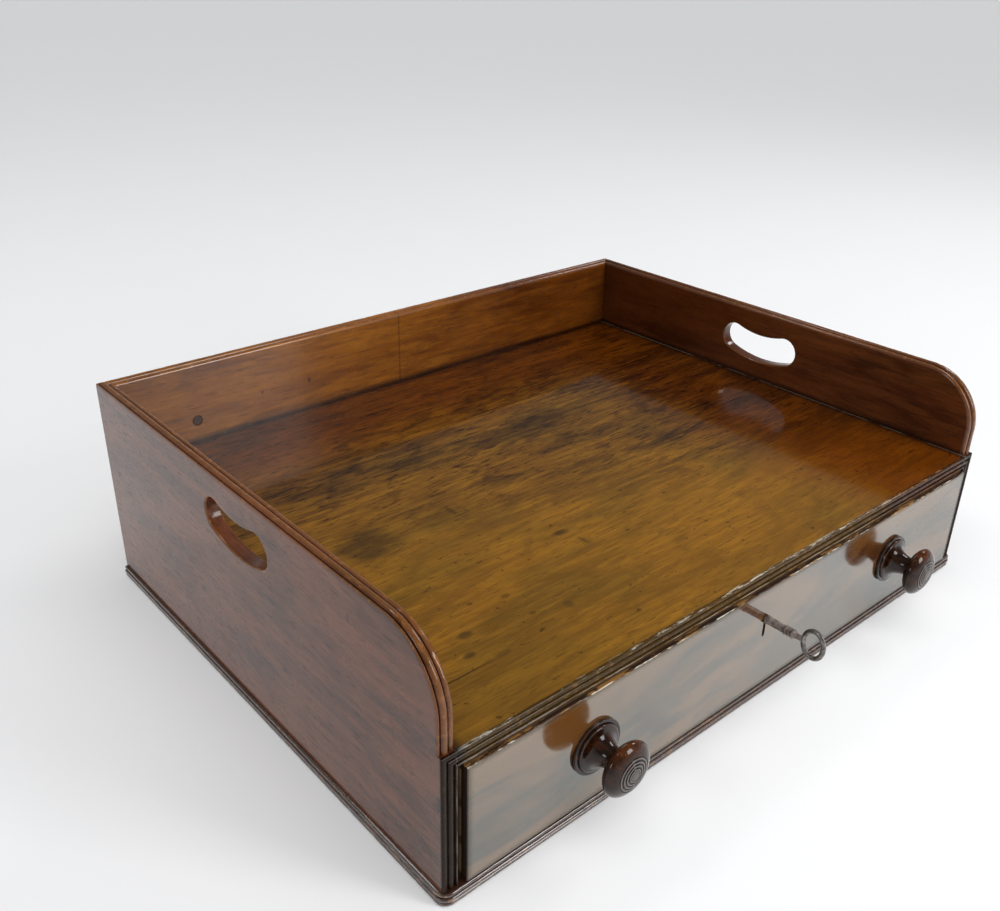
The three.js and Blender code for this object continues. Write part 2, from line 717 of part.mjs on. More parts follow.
// A turned knob: tenon, stepped flange, hollow neck and a bun head with rings on its face
function knob(sign) {
  const headMiddle = knobProjection - knobHeadThickness / 2;
  const neckAngle = -Math.acos(knobNeckRadius / knobHeadRadius);
  const neckHeight = headMiddle + knobHeadThickness / 2 * Math.sin(neckAngle);
  const hollow = quarter(knobHollowRadius, knobStepTop, knobNeckRadius, neckHeight, false, 5);
  const faceAngle = Math.acos(knobRingRadius / knobHeadRadius);
  const headSteps = 10;
  const head = Array.from({ length: headSteps }, (unused, i) => {
    const angle = neckAngle + (faceAngle - neckAngle) * (i + 1) / headSteps;
    return [knobHeadRadius * Math.cos(angle), headMiddle + knobHeadThickness / 2 * Math.sin(angle)];
  });
  const rings = Array.from({ length: knobRingCount }, (unused, i) => {
    const outer = knobRingRadius - knobRingSpacing * i;
    return [0.25, 0.5].map((share, step) => {
      const radius = outer - knobRingSpacing * share;
      return [radius, knobFaceHeight(radius) - (step === 0 ? knobRingDepth : 0)];
    });
  }).flat();
  const profile = [...knobFoot(), ...hollow, ...head, ...rings, [0, knobProjection]];
  return turned(profile, knobPlace(sign), towardFront, knobSegments);
}

// The lock's back plate with the selvedge bent over the drawer front's top edge
function lockPlate() {
  const half = lockPlateWidth / 2;
  const slotHalf = boltHeadWidth / 2 + jointFit;
  const low = keyAxisHeight - lockPlateBelowKey;
  const plate = box(-half, half, plateFace, drawerFrontBack, low, drawerFrontTop);
  const selvedge = box(-half, half, caseFace, drawerFrontBack, selvedgeLow, drawerFrontTop);
  const slot = box(-slotHalf, slotHalf, boltFront - jointFit, boltBack + jointFit, selvedgeLow - cut,
    drawerFrontTop + cut);
  return withLockScrewHoles(plate.add(selvedge).subtract(slot));
}

// The open box that the bolt slides in, with the keyhole through its face
function lockCase() {
  const half = lockCaseWidth / 2;
  const low = keyAxisHeight - lockCaseBelowKey;
  const shell = box(-half, half, caseFace, plateFace, low, selvedgeLow);
  const hollow = box(-half + lockWall, half - lockWall, caseFace + lockWall, plateFace + cut,
    low + lockWall, selvedgeLow + cut);
  const keyhole = alongY(keyholeOutline(caseKeyholeRadius, keyholeSlotWidth, caseKeyholeDrop),
    caseFace - cut, caseFace + lockWall + cut);
  return shell.subtract(hollow).subtract(keyhole);
}

function drillPin() {
  const start = new THREE.Vector3(0, plateFace, keyAxisHeight);
  return cylinder(drillPinRadius, start, towardFront, drillPinReach);
}

// The bolt: a head that shoots up through the selvedge and two lugs that straddle the key's sweep
function lockBolt() {
  const lug = boltLugWidth / 2;
  const head = boltHeadWidth / 2;
  const notch = keyBitReach + lockClearance;
  const lugLow = keyAxisHeight - boltLugBelowKey;
  const shoulder = selvedgeLow - boltThrow - lockClearance;
  const headTop = drawerFrontTop - jointFit;
  const shape = outline([
    [-lug, lugLow], [-notch, lugLow], [-notch, boltLow], [notch, boltLow], [notch, lugLow], [lug, lugLow],
    [lug, shoulder], [head, shoulder], [head, headTop],
    [-head, headTop], [-head, shoulder], [-lug, shoulder],
  ]);
  return alongY(shape, boltFront, boltBack);
}

// A bowed leaf spring between the case wall and the bolt's left lug
function lockSpring() {
  const wallX = -lockCaseWidth / 2 + lockWall;
  const bow = -boltLugWidth / 2 - jointFit - wallX;
  const low = keyAxisHeight - lockCaseBelowKey + lockWall;
  const height = selvedgeLow - low;
  const bowed = (offset) => Array.from({ length: springSteps + 1 }, (unused, i) => {
    const share = i / springSteps;
    return [wallX + offset + (bow - springLeaf) * Math.sin(Math.PI * share), low + height * share];
  });
  const shape = outline([...bowed(springLeaf), ...bowed(0).reverse()]);
  return alongY(shape, boltFront + jointFit, boltBack - jointFit);
}

// The collar on the key's shank as [radius, height] pairs: two rounded rings between hollows
function keyCollar(start) {
  const ringSteps = 8;
  return Array.from({ length: ringSteps + 1 }, (unused, i) => {
    const share = i / ringSteps;
    const swell = Math.abs(Math.sin(share * 2 * Math.PI));
    return [keyShankRadius + (keyCollarRadius - keyShankRadius) * swell, start + keyCollarLength * share];
  });
}

// The key: a pipe shank with a turned collar, an oval ring bow and a warded bit
function key() {
  const tip = plateFace - jointFit;
  const inside = tip - drawerFace;
  const shankEnd = inside + keyVisibleShank + keyBowWire / 2;
  const collar = keyCollar(inside + keyCollarStart);
  const collarEnd = collar[collar.length - 1][1];
  const profile = [
    [0, 0], [keyShankRadius, 0], ...collar, [keyNeckRadius, collarEnd + keyNeckRadius],
    [keyNeckRadius, shankEnd], [0, shankEnd],
  ];
  const shank = turned(profile, new THREE.Vector3(0, tip, keyAxisHeight), towardFront, 16);
  const bitLow = keyAxisHeight - keyBitReach;
  const bit = box(-keyBitThickness / 2, keyBitThickness / 2, tip - keyBitWidth, tip, bitLow, keyAxisHeight);
  const wardFront = tip - (keyBitWidth + keyWardWidth) / 2;
  const ward = box(-keyBitThickness, keyBitThickness, wardFront, wardFront + keyWardWidth,
    bitLow - cut, bitLow + keyWardDepth);
  const bore = cylinder(drillPinRadius + jointFit, new THREE.Vector3(0, tip + cut, keyAxisHeight),
    towardFront, keyBoreDepth + cut);
  const bowMiddle = drawerFace - keyVisibleShank - keyBowHalfLength;
  return shank.add(bit.subtract(ward)).subtract(bore).add(keyBow(bowMiddle));
}

// The key's oval bow, a round wire closed into a ring
function keyBow(middleY) {
  const ringSteps = 24;
  const ring = Array.from({ length: ringSteps }, (unused, i) => {
    const angle = (i / ringSteps) * 2 * Math.PI;
    const inwardY = Math.cos(angle) * (keyBowHalfLength - keyBowWire);
    const inwardZ = Math.sin(angle) * (keyBowHalfHeight - keyBowWire);
    return new THREE.Vector3(0, middleY + inwardY, keyAxisHeight + inwardZ);
  });
  const sides = 8;
  const skin = [];
  ring.forEach((point, i) => {
    const angle = (i / ring.length) * 2 * Math.PI;
    const out = new THREE.Vector3(
      0, Math.cos(angle) / keyBowHalfLength, Math.sin(angle) / keyBowHalfHeight).normalize();
    for (let side = 0; side < sides; side += 1) {
      const turn = (side / sides) * 2 * Math.PI;
      skin.push(point.clone().addScaledVector(out, keyBowWire * Math.cos(turn))
        .addScaledVector(rightward, keyBowWire * Math.sin(turn)));
    }
  });
  const index = [];
  for (let i = 0; i < ring.length; i += 1) {
    for (let side = 0; side < sides; side += 1) {
      const a = i * sides + side;
      const b = i * sides + (side + 1) % sides;
      const c = ((i + 1) % ring.length) * sides + (side + 1) % sides;
      const d = ((i + 1) % ring.length) * sides + side;
      index.push(a, b, c, a, c, d);
    }
  }
  return skinSolid(skin, index);
}

addPart('base_board', baseBoard(), darkMahogany);
addPart('left_side', sideBoard(-1), darkMahogany);
addPart('right_side', sideBoard(1), darkMahogany);
addPart('back_board', backBoard(), backMahogany);
addPart('back_plug', backPlug(), darkMahogany);
addPart('tray_board', trayBoard(), trayMahogany);
addPart('drawer_stop_left', drawerStop(-1), darkMahogany);
addPart('drawer_stop_right', drawerStop(1), darkMahogany);
baseScrewPlaces.forEach((place, i) => (
  addPart(`base_screw_${i + 1}`, slottedScrew(baseScrew, place, upward), lockIron)));

addPart('drawer_front', drawerFront(), darkMahogany);
addPart('drawer_side_left', drawerSide(-1), drawerLining);
addPart('drawer_side_right', drawerSide(1), drawerLining);
addPart('drawer_back', drawerBack(), drawerLining);
addPart('drawer_bottom', drawerBottom(), drawerLining);
bottomNailPlaces.forEach((place, i) => addPart(`bottom_nail_${i + 1}`, nail(place), lockIron));
addPart('knob_left', knob(-1), turnedMahogany);
addPart('knob_right', knob(1), turnedMahogany);

addPart('lock_plate', lockPlate(), lockBrass);
addPart('lock_case', lockCase(), lockIron);
addPart('drill_pin', drillPin(), lockIron);
addPart('lock_spring', lockSpring(), lockIron);
lockScrewPlaces.forEach((place, i) => (
  addPart(`lock_screw_${i + 1}`, slottedScrew(lockScrew, place, towardFront), lockIron)));
addPart('lock_bolt', lockBolt(), lockIron);
addPart('key', key(), keySteel);

export default tray;
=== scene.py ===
# A mahogany book tray: its reeded boards, turned knobs and key, worn and polished, on a pale floor.
# Metres, +Z up, +X to the right, the drawer faces -Y.
import math

import bmesh
import bpy
from mathutils import Matrix, Vector
from mathutils.geometry import tessellate_polygon


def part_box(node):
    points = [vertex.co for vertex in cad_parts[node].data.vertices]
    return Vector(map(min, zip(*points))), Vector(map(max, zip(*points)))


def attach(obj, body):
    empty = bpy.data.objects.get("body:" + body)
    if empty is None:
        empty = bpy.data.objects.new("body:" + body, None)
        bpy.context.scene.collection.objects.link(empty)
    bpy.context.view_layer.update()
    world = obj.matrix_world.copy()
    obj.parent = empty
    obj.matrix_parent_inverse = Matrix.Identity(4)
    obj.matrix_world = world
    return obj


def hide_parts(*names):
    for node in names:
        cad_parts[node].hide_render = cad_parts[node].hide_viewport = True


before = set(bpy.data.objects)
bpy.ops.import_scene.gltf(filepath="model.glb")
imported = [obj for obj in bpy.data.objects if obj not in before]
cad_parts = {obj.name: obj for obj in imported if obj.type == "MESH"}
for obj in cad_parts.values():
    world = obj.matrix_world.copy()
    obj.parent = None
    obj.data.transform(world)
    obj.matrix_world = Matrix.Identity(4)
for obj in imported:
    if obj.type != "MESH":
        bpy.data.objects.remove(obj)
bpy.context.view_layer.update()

MM = 0.001
SAME_PLACE = 1e-6
X, Y, Z = Vector((1, 0, 0)), Vector((0, 1, 0)), Vector((0, 0, 1))

# Places on the case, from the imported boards
base_low, base_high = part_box("base_board")
left_low, left_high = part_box("left_side")
back_low, back_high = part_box("back_board")
tray_low, tray_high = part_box("tray_board")
front_low, front_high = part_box("drawer_front")
key_low, key_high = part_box("key")
outer_x = -left_low.x
inner_x = -left_high.x
front_y = left_low.y
back_y = back_high.y
back_inner_y = back_low.y
case_top = left_high.z
base_top = left_low.z
tray_top = tray_high.z
tray_under = tray_low.z
side_thickness = outer_x - inner_x
back_thickness = back_y - back_inner_y
tray_thickness = tray_top - tray_under
key_height = (key_low.z + key_high.z) / 2
bow_start = front_low.y - 26 * MM
plug_low, plug_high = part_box("back_plug")
plug_place = Vector(((plug_low.x + plug_high.x) / 2, back_inner_y, (plug_low.z + plug_high.z) / 2))
bolt_low, bolt_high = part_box("lock_bolt")

# Reeding: a first, a centre and a last reed with quirks between them
GALLERY_REEDS = dict(first=1.2, last=3.6, quirk=0.5, sunk=1.0, grooved=1.9, shoulder=3.6)
FRAME_REEDS = dict(first=1.8, last=3.2, quirk=0.8, sunk=0.0, grooved=1.3, shoulder=1.2)
BASE_REEDS = dict(first=2.4, last=2.4, quirk=0.5, sunk=0.5, grooved=1.5, shoulder=2.0)
REED_SEAT = 0.6 * MM
STATION_STEP = 1.6 * MM
GALLERY_RADIUS = 42 * MM
GALLERY_SET_BACK = 1.8 * MM
BASE_RADIUS = 7 * MM
MITRE_GAP = 0.02 * MM
ARRIS_RADIUS = 0.6 * MM

# Hand holes
HOLE_LENGTH = 73 * MM
HOLE_HEIGHT = 22.6 * MM
HOLE_BEND = 80 * MM
HOLE_MIDDLE = 124 * MM
HOLE_ROUNDING = 1.4 * MM


class Value:
    """A number, colour, vector or geometry in a node tree, ready for sums."""

    def __init__(self, tree, socket):
        self.tree = tree
        self.socket = socket

    def __add__(self, other):
        return self.tree.math("ADD", self, other)

    def __radd__(self, other):
        return self.tree.math("ADD", other, self)

    def __sub__(self, other):
        return self.tree.math("SUBTRACT", self, other)

    def __rsub__(self, other):
        return self.tree.math("SUBTRACT", other, self)

    def __mul__(self, other):
        return self.tree.math("MULTIPLY", self, other)

    def __rmul__(self, other):
        return self.tree.math("MULTIPLY", other, self)

    def __truediv__(self, other):
        return self.tree.math("DIVIDE", self, other)

    def __rtruediv__(self, other):
        return self.tree.math("DIVIDE", other, self)


class Tree:
    """A node tree that is written as expressions."""

    def __init__(self, tree):
        self.tree = tree

    @staticmethod
    def find(sockets, key):
        if isinstance(key, int):
            return sockets[key]
        return next(s for s in sockets if key in (s.identifier, s.name))

    def node(self, kind, settings=None, inputs=None, output=0):
        made = self.tree.nodes.new(kind)
        for name, setting in (settings or {}).items():
            setattr(made, name, setting)
        for key, value in (inputs or {}).items():
            socket = self.find(made.inputs, key)
            if isinstance(value, Value):
                self.tree.links.new(value.socket, socket)
            else:
                socket.default_value = value
        return Value(self, self.find(made.outputs, output) if len(made.outputs) else None)

    def output(self, value, name):
        """Another output of the node that made a value."""
        return Value(self, self.find(value.socket.node.outputs, name))

    def math(self, operation, *values):
        return self.node("ShaderNodeMath", {"operation": operation}, dict(enumerate(values)))

    def vector(self, operation, *values):
        return self.node("ShaderNodeVectorMath", {"operation": operation}, dict(enumerate(values)))

    def smooth(self, value, start, end):
        """0 at start and 1 at end, with a soft run between them."""
        inputs = {"Value": value, "From Min": start, "From Max": end}
        return self.node("ShaderNodeMapRange", {"interpolation_type": "SMOOTHSTEP"}, inputs)


# Geometry Nodes: a section carried through stations, and a profile turned on a lathe

def new_group(name, inputs):
    """A geometry group with a geometry first and last, and named inputs."""
    group = bpy.data.node_groups.new(name, "GeometryNodeTree")
    group.interface.new_socket("Geometry", in_out="OUTPUT", socket_type="NodeSocketGeometry")
    group.interface.new_socket("Geometry", in_out="INPUT", socket_type="NodeSocketGeometry")
    for label, kind in inputs.items():
        group.interface.new_socket(label, in_out="INPUT", socket_type="NodeSocket" + kind)
    tree = Tree(group)
    start = tree.node("NodeGroupInput")
    given = {label: tree.output(start, label) for label in ("Geometry", *inputs)}
    return tree, given


def count_points(tree, geometry):
    return tree.node("GeometryNodeAttributeDomainSize", {"component": "MESH"},
                     {"Geometry": geometry}, "Point Count")


def sample(tree, geometry, kind, value, index):
    settings = {"data_type": kind, "domain": "POINT"}
    return tree.node("GeometryNodeSampleIndex", settings,
                     {"Geometry": geometry, "Value": value, "Index": index})


def named(tree, label, kind):
    return tree.node("GeometryNodeInputNamedAttribute", {"data_type": kind}, {"Name": label})


def skin_grid(tree, rows, columns):
    """A grid of rows by columns with each point's row and column number."""
    grid = tree.node("GeometryNodeMeshGrid", {}, {"Vertices X": rows, "Vertices Y": columns})
    index = tree.node("GeometryNodeInputIndex")
    row = tree.math("FLOOR", (index + 0.5) / columns)
    return grid, row, index - row * columns


def finish_skin(tree, grid, place, tone, finish):
    """Moves a grid into place, keeps its tone, joins its seams and gives it its finish."""
    skin = tree.node("GeometryNodeSetPosition", {}, {"Geometry": grid, "Position": place})
    skin = tree.node("GeometryNodeStoreNamedAttribute", {"data_type": "FLOAT", "domain": "POINT"},
                     {"Geometry": skin, "Name": "tone", "Value": tone})
    skin = tree.node("GeometryNodeMergeByDistance", {}, {"Geometry": skin, "Distance": SAME_PLACE})
    whole = tree.node("GeometryNodeRealizeInstances", {}, {"Geometry": skin})
    painted = tree.node("GeometryNodeSetMaterial", {}, {"Geometry": whole, "Material": finish})
    tree.node("NodeGroupOutput", {}, {"Geometry": painted})
    return tree.tree


def carried_section_group():
    """Carries a section through stations and wears chips into what its tone attribute marks."""
    tree, given = new_group("carried_section", {
        "Section": "Object", "Wear depth": "Float", "Chip size": "Float", "Seed": "Float",
        "Finish": "Material"})
    stations = given["Geometry"]
    section = tree.node("GeometryNodeObjectInfo", {}, {"Object": given["Section"]}, "Geometry")
    grid, row, column = skin_grid(tree, count_points(tree, stations), count_points(tree, section))
    position = tree.node("GeometryNodeInputPosition")
    at = sample(tree, stations, "FLOAT_VECTOR", position, row)
    across = sample(tree, stations, "FLOAT_VECTOR", named(tree, "across", "FLOAT_VECTOR"), row)
    out = sample(tree, stations, "FLOAT_VECTOR", named(tree, "out", "FLOAT_VECTOR"), row)
    flat = sample(tree, section, "FLOAT_VECTOR", position, column)
    tone = sample(tree, section, "FLOAT", named(tree, "tone", "FLOAT"), column)
    step = tree.node("ShaderNodeSeparateXYZ", {}, {"Vector": flat})
    depth = tree.output(step, "Y")
    place = tree.vector("ADD", at, tree.vector("MULTIPLY", across, step))
    place = tree.vector("SUBTRACT", place, tree.vector("MULTIPLY", out, depth))
    seed = given["Seed"]
    fineness = 1.0 / given["Chip size"]
    soft = tree.node("ShaderNodeTexNoise", {"noise_dimensions": "4D"},
                     {"Vector": place, "W": seed, "Scale": fineness * 0.35, "Detail": 1.0})
    sharp = tree.node("ShaderNodeTexNoise", {"noise_dimensions": "4D"},
                      {"Vector": place, "W": seed + 7.0, "Scale": fineness, "Detail": 2.0})
    chips = tree.smooth(sharp, 0.56, 0.68)
    wear = given["Wear depth"] * tree.math("MAXIMUM", tone, 0.0) * (soft * 0.5 + chips * 0.75)
    worn = tree.vector("SUBTRACT", place, tree.vector("MULTIPLY", out, wear))
    return finish_skin(tree, grid, worn, tone, given["Finish"])


def lathe_group():
    """Turns a profile of (radius, height) points about the origin's line towards -Y."""
    tree, given = new_group("turned_profile", {"Segments": "Int", "Finish": "Material"})
    profile = given["Geometry"]
    segments = given["Segments"]
    grid, row, column = skin_grid(tree, segments + 1.0, count_points(tree, profile))
    position = tree.node("GeometryNodeInputPosition")
    flat = sample(tree, profile, "FLOAT_VECTOR", position, column)
    tone = sample(tree, profile, "FLOAT", named(tree, "tone", "FLOAT"), column)
    radius = tree.node("ShaderNodeSeparateXYZ", {}, {"Vector": flat})
    height = tree.output(radius, "Y")
    angle = row * (2 * math.pi) / segments
    ring = tree.node("ShaderNodeCombineXYZ", {}, {
        "X": radius * tree.math("COSINE", angle), "Y": 0.0 - height,
        "Z": radius * tree.math("SINE", angle)})
    return finish_skin(tree, grid, ring, tone, given["Finish"])


def add_object(name, data):
    thing = bpy.data.objects.new(name, data)
    bpy.context.scene.collection.objects.link(thing)
    return thing


def remove_object(thing):
    mesh = thing.data
    bpy.data.objects.remove(thing)
    bpy.data.meshes.remove(mesh)


def points_mesh(name, points, attributes):
    """Loose points with a named attribute for each list of numbers or vectors."""
    mesh = bpy.data.meshes.new(name)
    mesh.from_pydata(points, [], [])
    for label, values in attributes.items():
        vector = isinstance(values[0], Vector)
        layer = mesh.attributes.new(label, "FLOAT_VECTOR" if vector else "FLOAT", "POINT")
        flat = [number for value in values for number in value] if vector else values
        layer.data.foreach_set("vector" if vector else "value", flat)
    return mesh


def mend(mesh, merge=False, close=False):
    """Turns a mesh's faces outwards, with its doubled points merged or its open ends closed first."""
    shape = bmesh.new()
    shape.from_mesh(mesh)
    if merge:
        bmesh.ops.remove_doubles(shape, verts=shape.verts, dist=SAME_PLACE)
    if close:
        bmesh.ops.holes_fill(shape, edges=[e for e in shape.edges if e.is_boundary], sides=0)
    bmesh.ops.recalc_face_normals(shape, faces=shape.faces)
    shape.to_mesh(mesh)
    shape.free()


def run_group(group, mesh, settings):
    """The plain mesh that a group makes of a mesh."""
    source = add_object("source", mesh)
    modifier = source.modifiers.new("make", "NODES")
    modifier.node_group = group
    sockets = {item.name: item.identifier for item in group.interface.items_tree
               if item.in_out == "INPUT"}
    for label, value in settings.items():
        modifier[sockets[label]] = value
    bpy.context.view_layer.update()
    graph = bpy.context.evaluated_depsgraph_get()
    made = bpy.data.meshes.new_from_object(source.evaluated_get(graph))
    source.modifiers.remove(modifier)
    remove_object(source)
    return made


carry = carried_section_group()
lathe = lathe_group()


class Shells:
    """Closed shells gathered into one piece."""

    def __init__(self):
        self.points = []
        self.faces = []
        self.smooth = []
        self.tones = []

    def add(self, points, faces, smooth, tones):
        start = len(self.points)
        self.points += [tuple(point) for point in points]
        self.faces += [[start + i for i in face] for face in faces]
        self.smooth += smooth
        self.tones += tones

    def add_mesh(self, mesh):
        """Adds a mesh, shaded flat where it faces straight along an axis."""
        tones = [0.0] * len(mesh.vertices)
        if "tone" in mesh.attributes:
            mesh.attributes["tone"].data.foreach_get("value", tones)
        self.add([vertex.co for vertex in mesh.vertices],
                 [list(face.vertices) for face in mesh.polygons],
                 [max(abs(n) for n in face.normal) < 0.9999 for face in mesh.polygons], tones)
        bpy.data.meshes.remove(mesh)

    def piece(self, name, finish, body, node, crease=38):
        """The finished piece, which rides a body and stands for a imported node."""
        mesh = bpy.data.meshes.new(name)
        mesh.from_pydata(self.points, [], self.faces)
        mesh.attributes.new("tone", "FLOAT", "POINT").data.foreach_set("value", self.tones)
        mesh.polygons.foreach_set("use_smooth", self.smooth)
        mend(mesh, close=True)
        smooth = [face.use_smooth for face in mesh.polygons]
        mesh.set_sharp_from_angle(angle=math.radians(crease))
        mesh.polygons.foreach_set("use_smooth", smooth)
        mesh.materials.append(finish)
        piece = add_object(name, mesh)
        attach(piece, body)
        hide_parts(node)


# Sections as (across, depth, tone) points: tone 1 on a worn crown, -1 down in a quirk

def quarter(start, end, rising, steps=6):
    """A quarter of an ellipse that rises to its crown or falls from it."""
    points = []
    for i in range(steps + 1):
        angle = i / steps * math.pi / 2
        along = 1 - math.cos(angle) if rising else math.sin(angle)
        up = math.sin(angle) if rising else 1 - math.cos(angle)
        crown = up if rising else 1 - up
        points.append((start[0] + (end[0] - start[0]) * along,
                       start[1] + (end[1] - start[1]) * up, crown ** 3))
    return points


def reed_section(thickness, first, last, quirk, sunk, grooved, shoulder):
    """The reeded edge over a board's thickness, closed across its seat."""
    width = thickness / MM
    centre_start = first + quirk
    last_start = width - last
    centre_end = last_start - quirk
    centre = (centre_start + centre_end) / 2
    low = (0.0, shoulder)
    points = [
        *quarter(low, (first / 2, sunk), True),
        *quarter((first / 2, sunk), (first, grooved), False)[1:],
        (first + quirk / 2, grooved + 0.15, -1.0),
        *quarter((centre_start, grooved), (centre, 0.0), True, 8),
        *quarter((centre, 0.0), (centre_end, grooved), False, 8)[1:],
        (centre_end + quirk / 2, grooved + 0.15, -1.0),
        *quarter((last_start, grooved), (last_start + last / 2, sunk), True),
        *quarter((last_start + last / 2, sunk), (width, shoulder), False)[1:],
    ]
    quirks = (first, centre_start, centre_end, last_start)
    toned = [(a, depth, -1.0 if any(abs(a - q) < 1e-6 for q in quirks) else tone)
             for a, depth, tone in points]
    seat = shoulder + REED_SEAT / MM
    closed = [(0.0, seat, 0.0), *toned, (width, seat, 0.0), (0.0, seat, 0.0)]
    return [(a * MM, depth * MM, tone) for a, depth, tone in closed]


def reed_depth(reeds):
    return reeds["shoulder"] * MM + REED_SEAT


def walked(stations, step=STATION_STEP):
    """Stations with more set evenly between each two."""
    full = [stations[0]]
    for (at, across, out), (next_at, next_across, next_out) in zip(stations, stations[1:]):
        count = max(1, round((next_at - at).length / step))
        for i in range(1, count + 1):
            share = i / count
            full.append((at.lerp(next_at, share), across.lerp(next_across, share),
                         out.lerp(next_out, share).normalized()))
    return full


def carried(section, stations, finish, wear=0.35 * MM, chip=3 * MM, seed=0.0):
    """A section carried through (place, across, outward) stations as a closed strip."""
    shape = points_mesh("section", [(a, depth, 0) for a, depth, tone in section],
                        {"tone": [tone for a, depth, tone in section]})
    holder = add_object("section", shape)
    path = points_mesh("stations", [at for at, across, out in stations],
                       {"across": [across for at, across, out in stations],
                        "out": [out for at, across, out in stations]})
    strip = run_group(carry, path, {
        "Section": holder, "Wear depth": wear, "Chip size": chip, "Seed": seed, "Finish": finish})
    remove_object(holder)
    return strip


def turned(profile, place, finish, segments=96):
    """A profile of (radius, height, tone) points turned about a place's line towards -Y."""
    shape = points_mesh("profile", [(r, h, 0) for r, h, tone in profile],
                        {"tone": [tone for r, h, tone in profile]})
    turning = run_group(lathe, shape, {"Segments": segments, "Finish": finish})
    turning.transform(Matrix.Translation(place))
    return turning


def slab(shells, outline, place, holes, thick):
    """A closed board. place(u, v, depth) puts outline points. A hole is a list of rings, each of points,
    depth and tone, and one whose last ring is short of the far face gets a floor there."""
    count = len(outline)
    points = [place(u, v, 0.0) for u, v in outline] + [place(u, v, thick) for u, v in outline]
    tones = [0.0] * len(points)
    faces = [[i, (i + 1) % count, count + (i + 1) % count, count + i] for i in range(count)]
    smooth = [False] * count
    near = [[(u, v, i) for i, (u, v) in enumerate(outline)]]
    far = [[(u, v, count + i) for i, (u, v) in enumerate(outline)]]
    for rings in holes:
        start = len(points)
        size = len(rings[0][0])
        for ring, depth, tone in rings:
            points += [place(u, v, depth) for u, v in ring]
            tones += [tone] * size
        for level in range(len(rings) - 1):
            for i in range(size):
                a = start + level * size + i
                b = start + level * size + (i + 1) % size
                faces.append([a, b, b + size, a + size])
                smooth.append(True)
        last = start + (len(rings) - 1) * size
        near.append([(u, v, start + i) for i, (u, v) in enumerate(rings[0][0])])
        if rings[-1][1] < thick:
            faces.append([last + i for i in range(size)])
            smooth.append(False)
        else:
            far.append([(u, v, last + i) for i, (u, v) in enumerate(rings[-1][0])])
    for side in (near, far):
        names = [i for loop in side for u, v, i in loop]
        loops = [[Vector((u, v, 0)) for u, v, i in loop] for loop in side]
        for triangle in tessellate_polygon(loops):
            faces.append([names[i] for i in triangle])
            smooth.append(False)
    shells.add(points, faces, smooth, tones)


# Finishes

class Finish(Tree):
    """A finish whose pattern is placed by the piece's own coordinates."""

    def __init__(self, name):
        self.material = bpy.data.materials.new(name)
        self.material.use_nodes = True
        self.material.node_tree.nodes.clear()
        super().__init__(self.material.node_tree)
        self.place = self.node("ShaderNodeTexCoord", {}, {}, "Object")
        self.x = self.node("ShaderNodeSeparateXYZ", {}, {"Vector": self.place})
        self.y = self.output(self.x, "Y")
        self.z = self.output(self.x, "Z")
        tone = self.node("ShaderNodeAttribute", {"attribute_name": "tone"}, {}, "Fac")
        self.crown = self.math("MAXIMUM", tone, 0.0)
        self.quirk = self.math("MAXIMUM", 0.0 - tone, 0.0)

    def noise(self, scales, shift=0.0, detail=4.0, roughness=0.55, distortion=0.0):
        """Noise whose features repeat about scales times in a metre along each axis."""
        offset = (3.1 + shift, 7.7 - shift, 1.9 + 2 * shift)
        place = self.node("ShaderNodeMapping", {}, {
            "Vector": self.place, "Location": offset, "Scale": scales})
        return self.node("ShaderNodeTexNoise", {}, {
            "Vector": place, "Scale": 1.0, "Detail": detail, "Roughness": roughness,
            "Distortion": distortion})

    def mix(self, first, second, factor, blend="MIX"):
        settings = {"data_type": "RGBA", "blend_type": blend, "clamp_factor": True}
        colours = [c if isinstance(c, Value) else (*c, 1.0) for c in (first, second)]
        return self.node("ShaderNodeMix", settings, {
            "Factor_Float": factor, "A_Color": colours[0], "B_Color": colours[1]}, "Result_Color")

    def paint(self, tint, mask):
        self.colour = self.mix(self.colour, tint, mask)

    def stain(self, tint, mask):
        self.colour = self.mix(self.colour, tint, mask, "MULTIPLY")

    def spot(self, centre, size, rough=0.5, soft=0.5):
        """1 within an uneven oval round a place, 0 outside it."""
        away = self.vector("SUBTRACT", self.place, centre)
        away = self.vector("DIVIDE", away, size)
        length = self.output(self.vector("LENGTH", away), "Value")
        uneven = self.noise((60, 140, 140), shift=centre[0] * 9, detail=3.0) - 0.5
        return self.smooth(length + uneven * rough * 2, 1.0, soft)

    def surface(self, roughness, height, bump, metallic=0.0, **constants):
        """A surface. Names of constants are the shader's own, with _ for spaces."""
        relief = self.node("ShaderNodeBump", {}, {"Height": height, "Strength": 1.0, "Distance": bump})
        inputs = {"Base Color": self.colour, "Roughness": roughness, "Metallic": metallic,
                  "Normal": relief}
        for name, value in constants.items():
            inputs[name.replace("_", " ")] = value
        return self.node("ShaderNodeBsdfPrincipled", {}, inputs)

    def done(self, surface):
        self.node("ShaderNodeOutputMaterial", {}, {"Surface": surface})
        return self.material

    def close(self, *parts, **constants):
        return self.done(self.surface(*parts, **constants))


def along_grain(axis, along, across):
    """Scales for noise that is drawn out along one axis."""
    scales = [across] * 3
    scales[axis] = along
    return scales


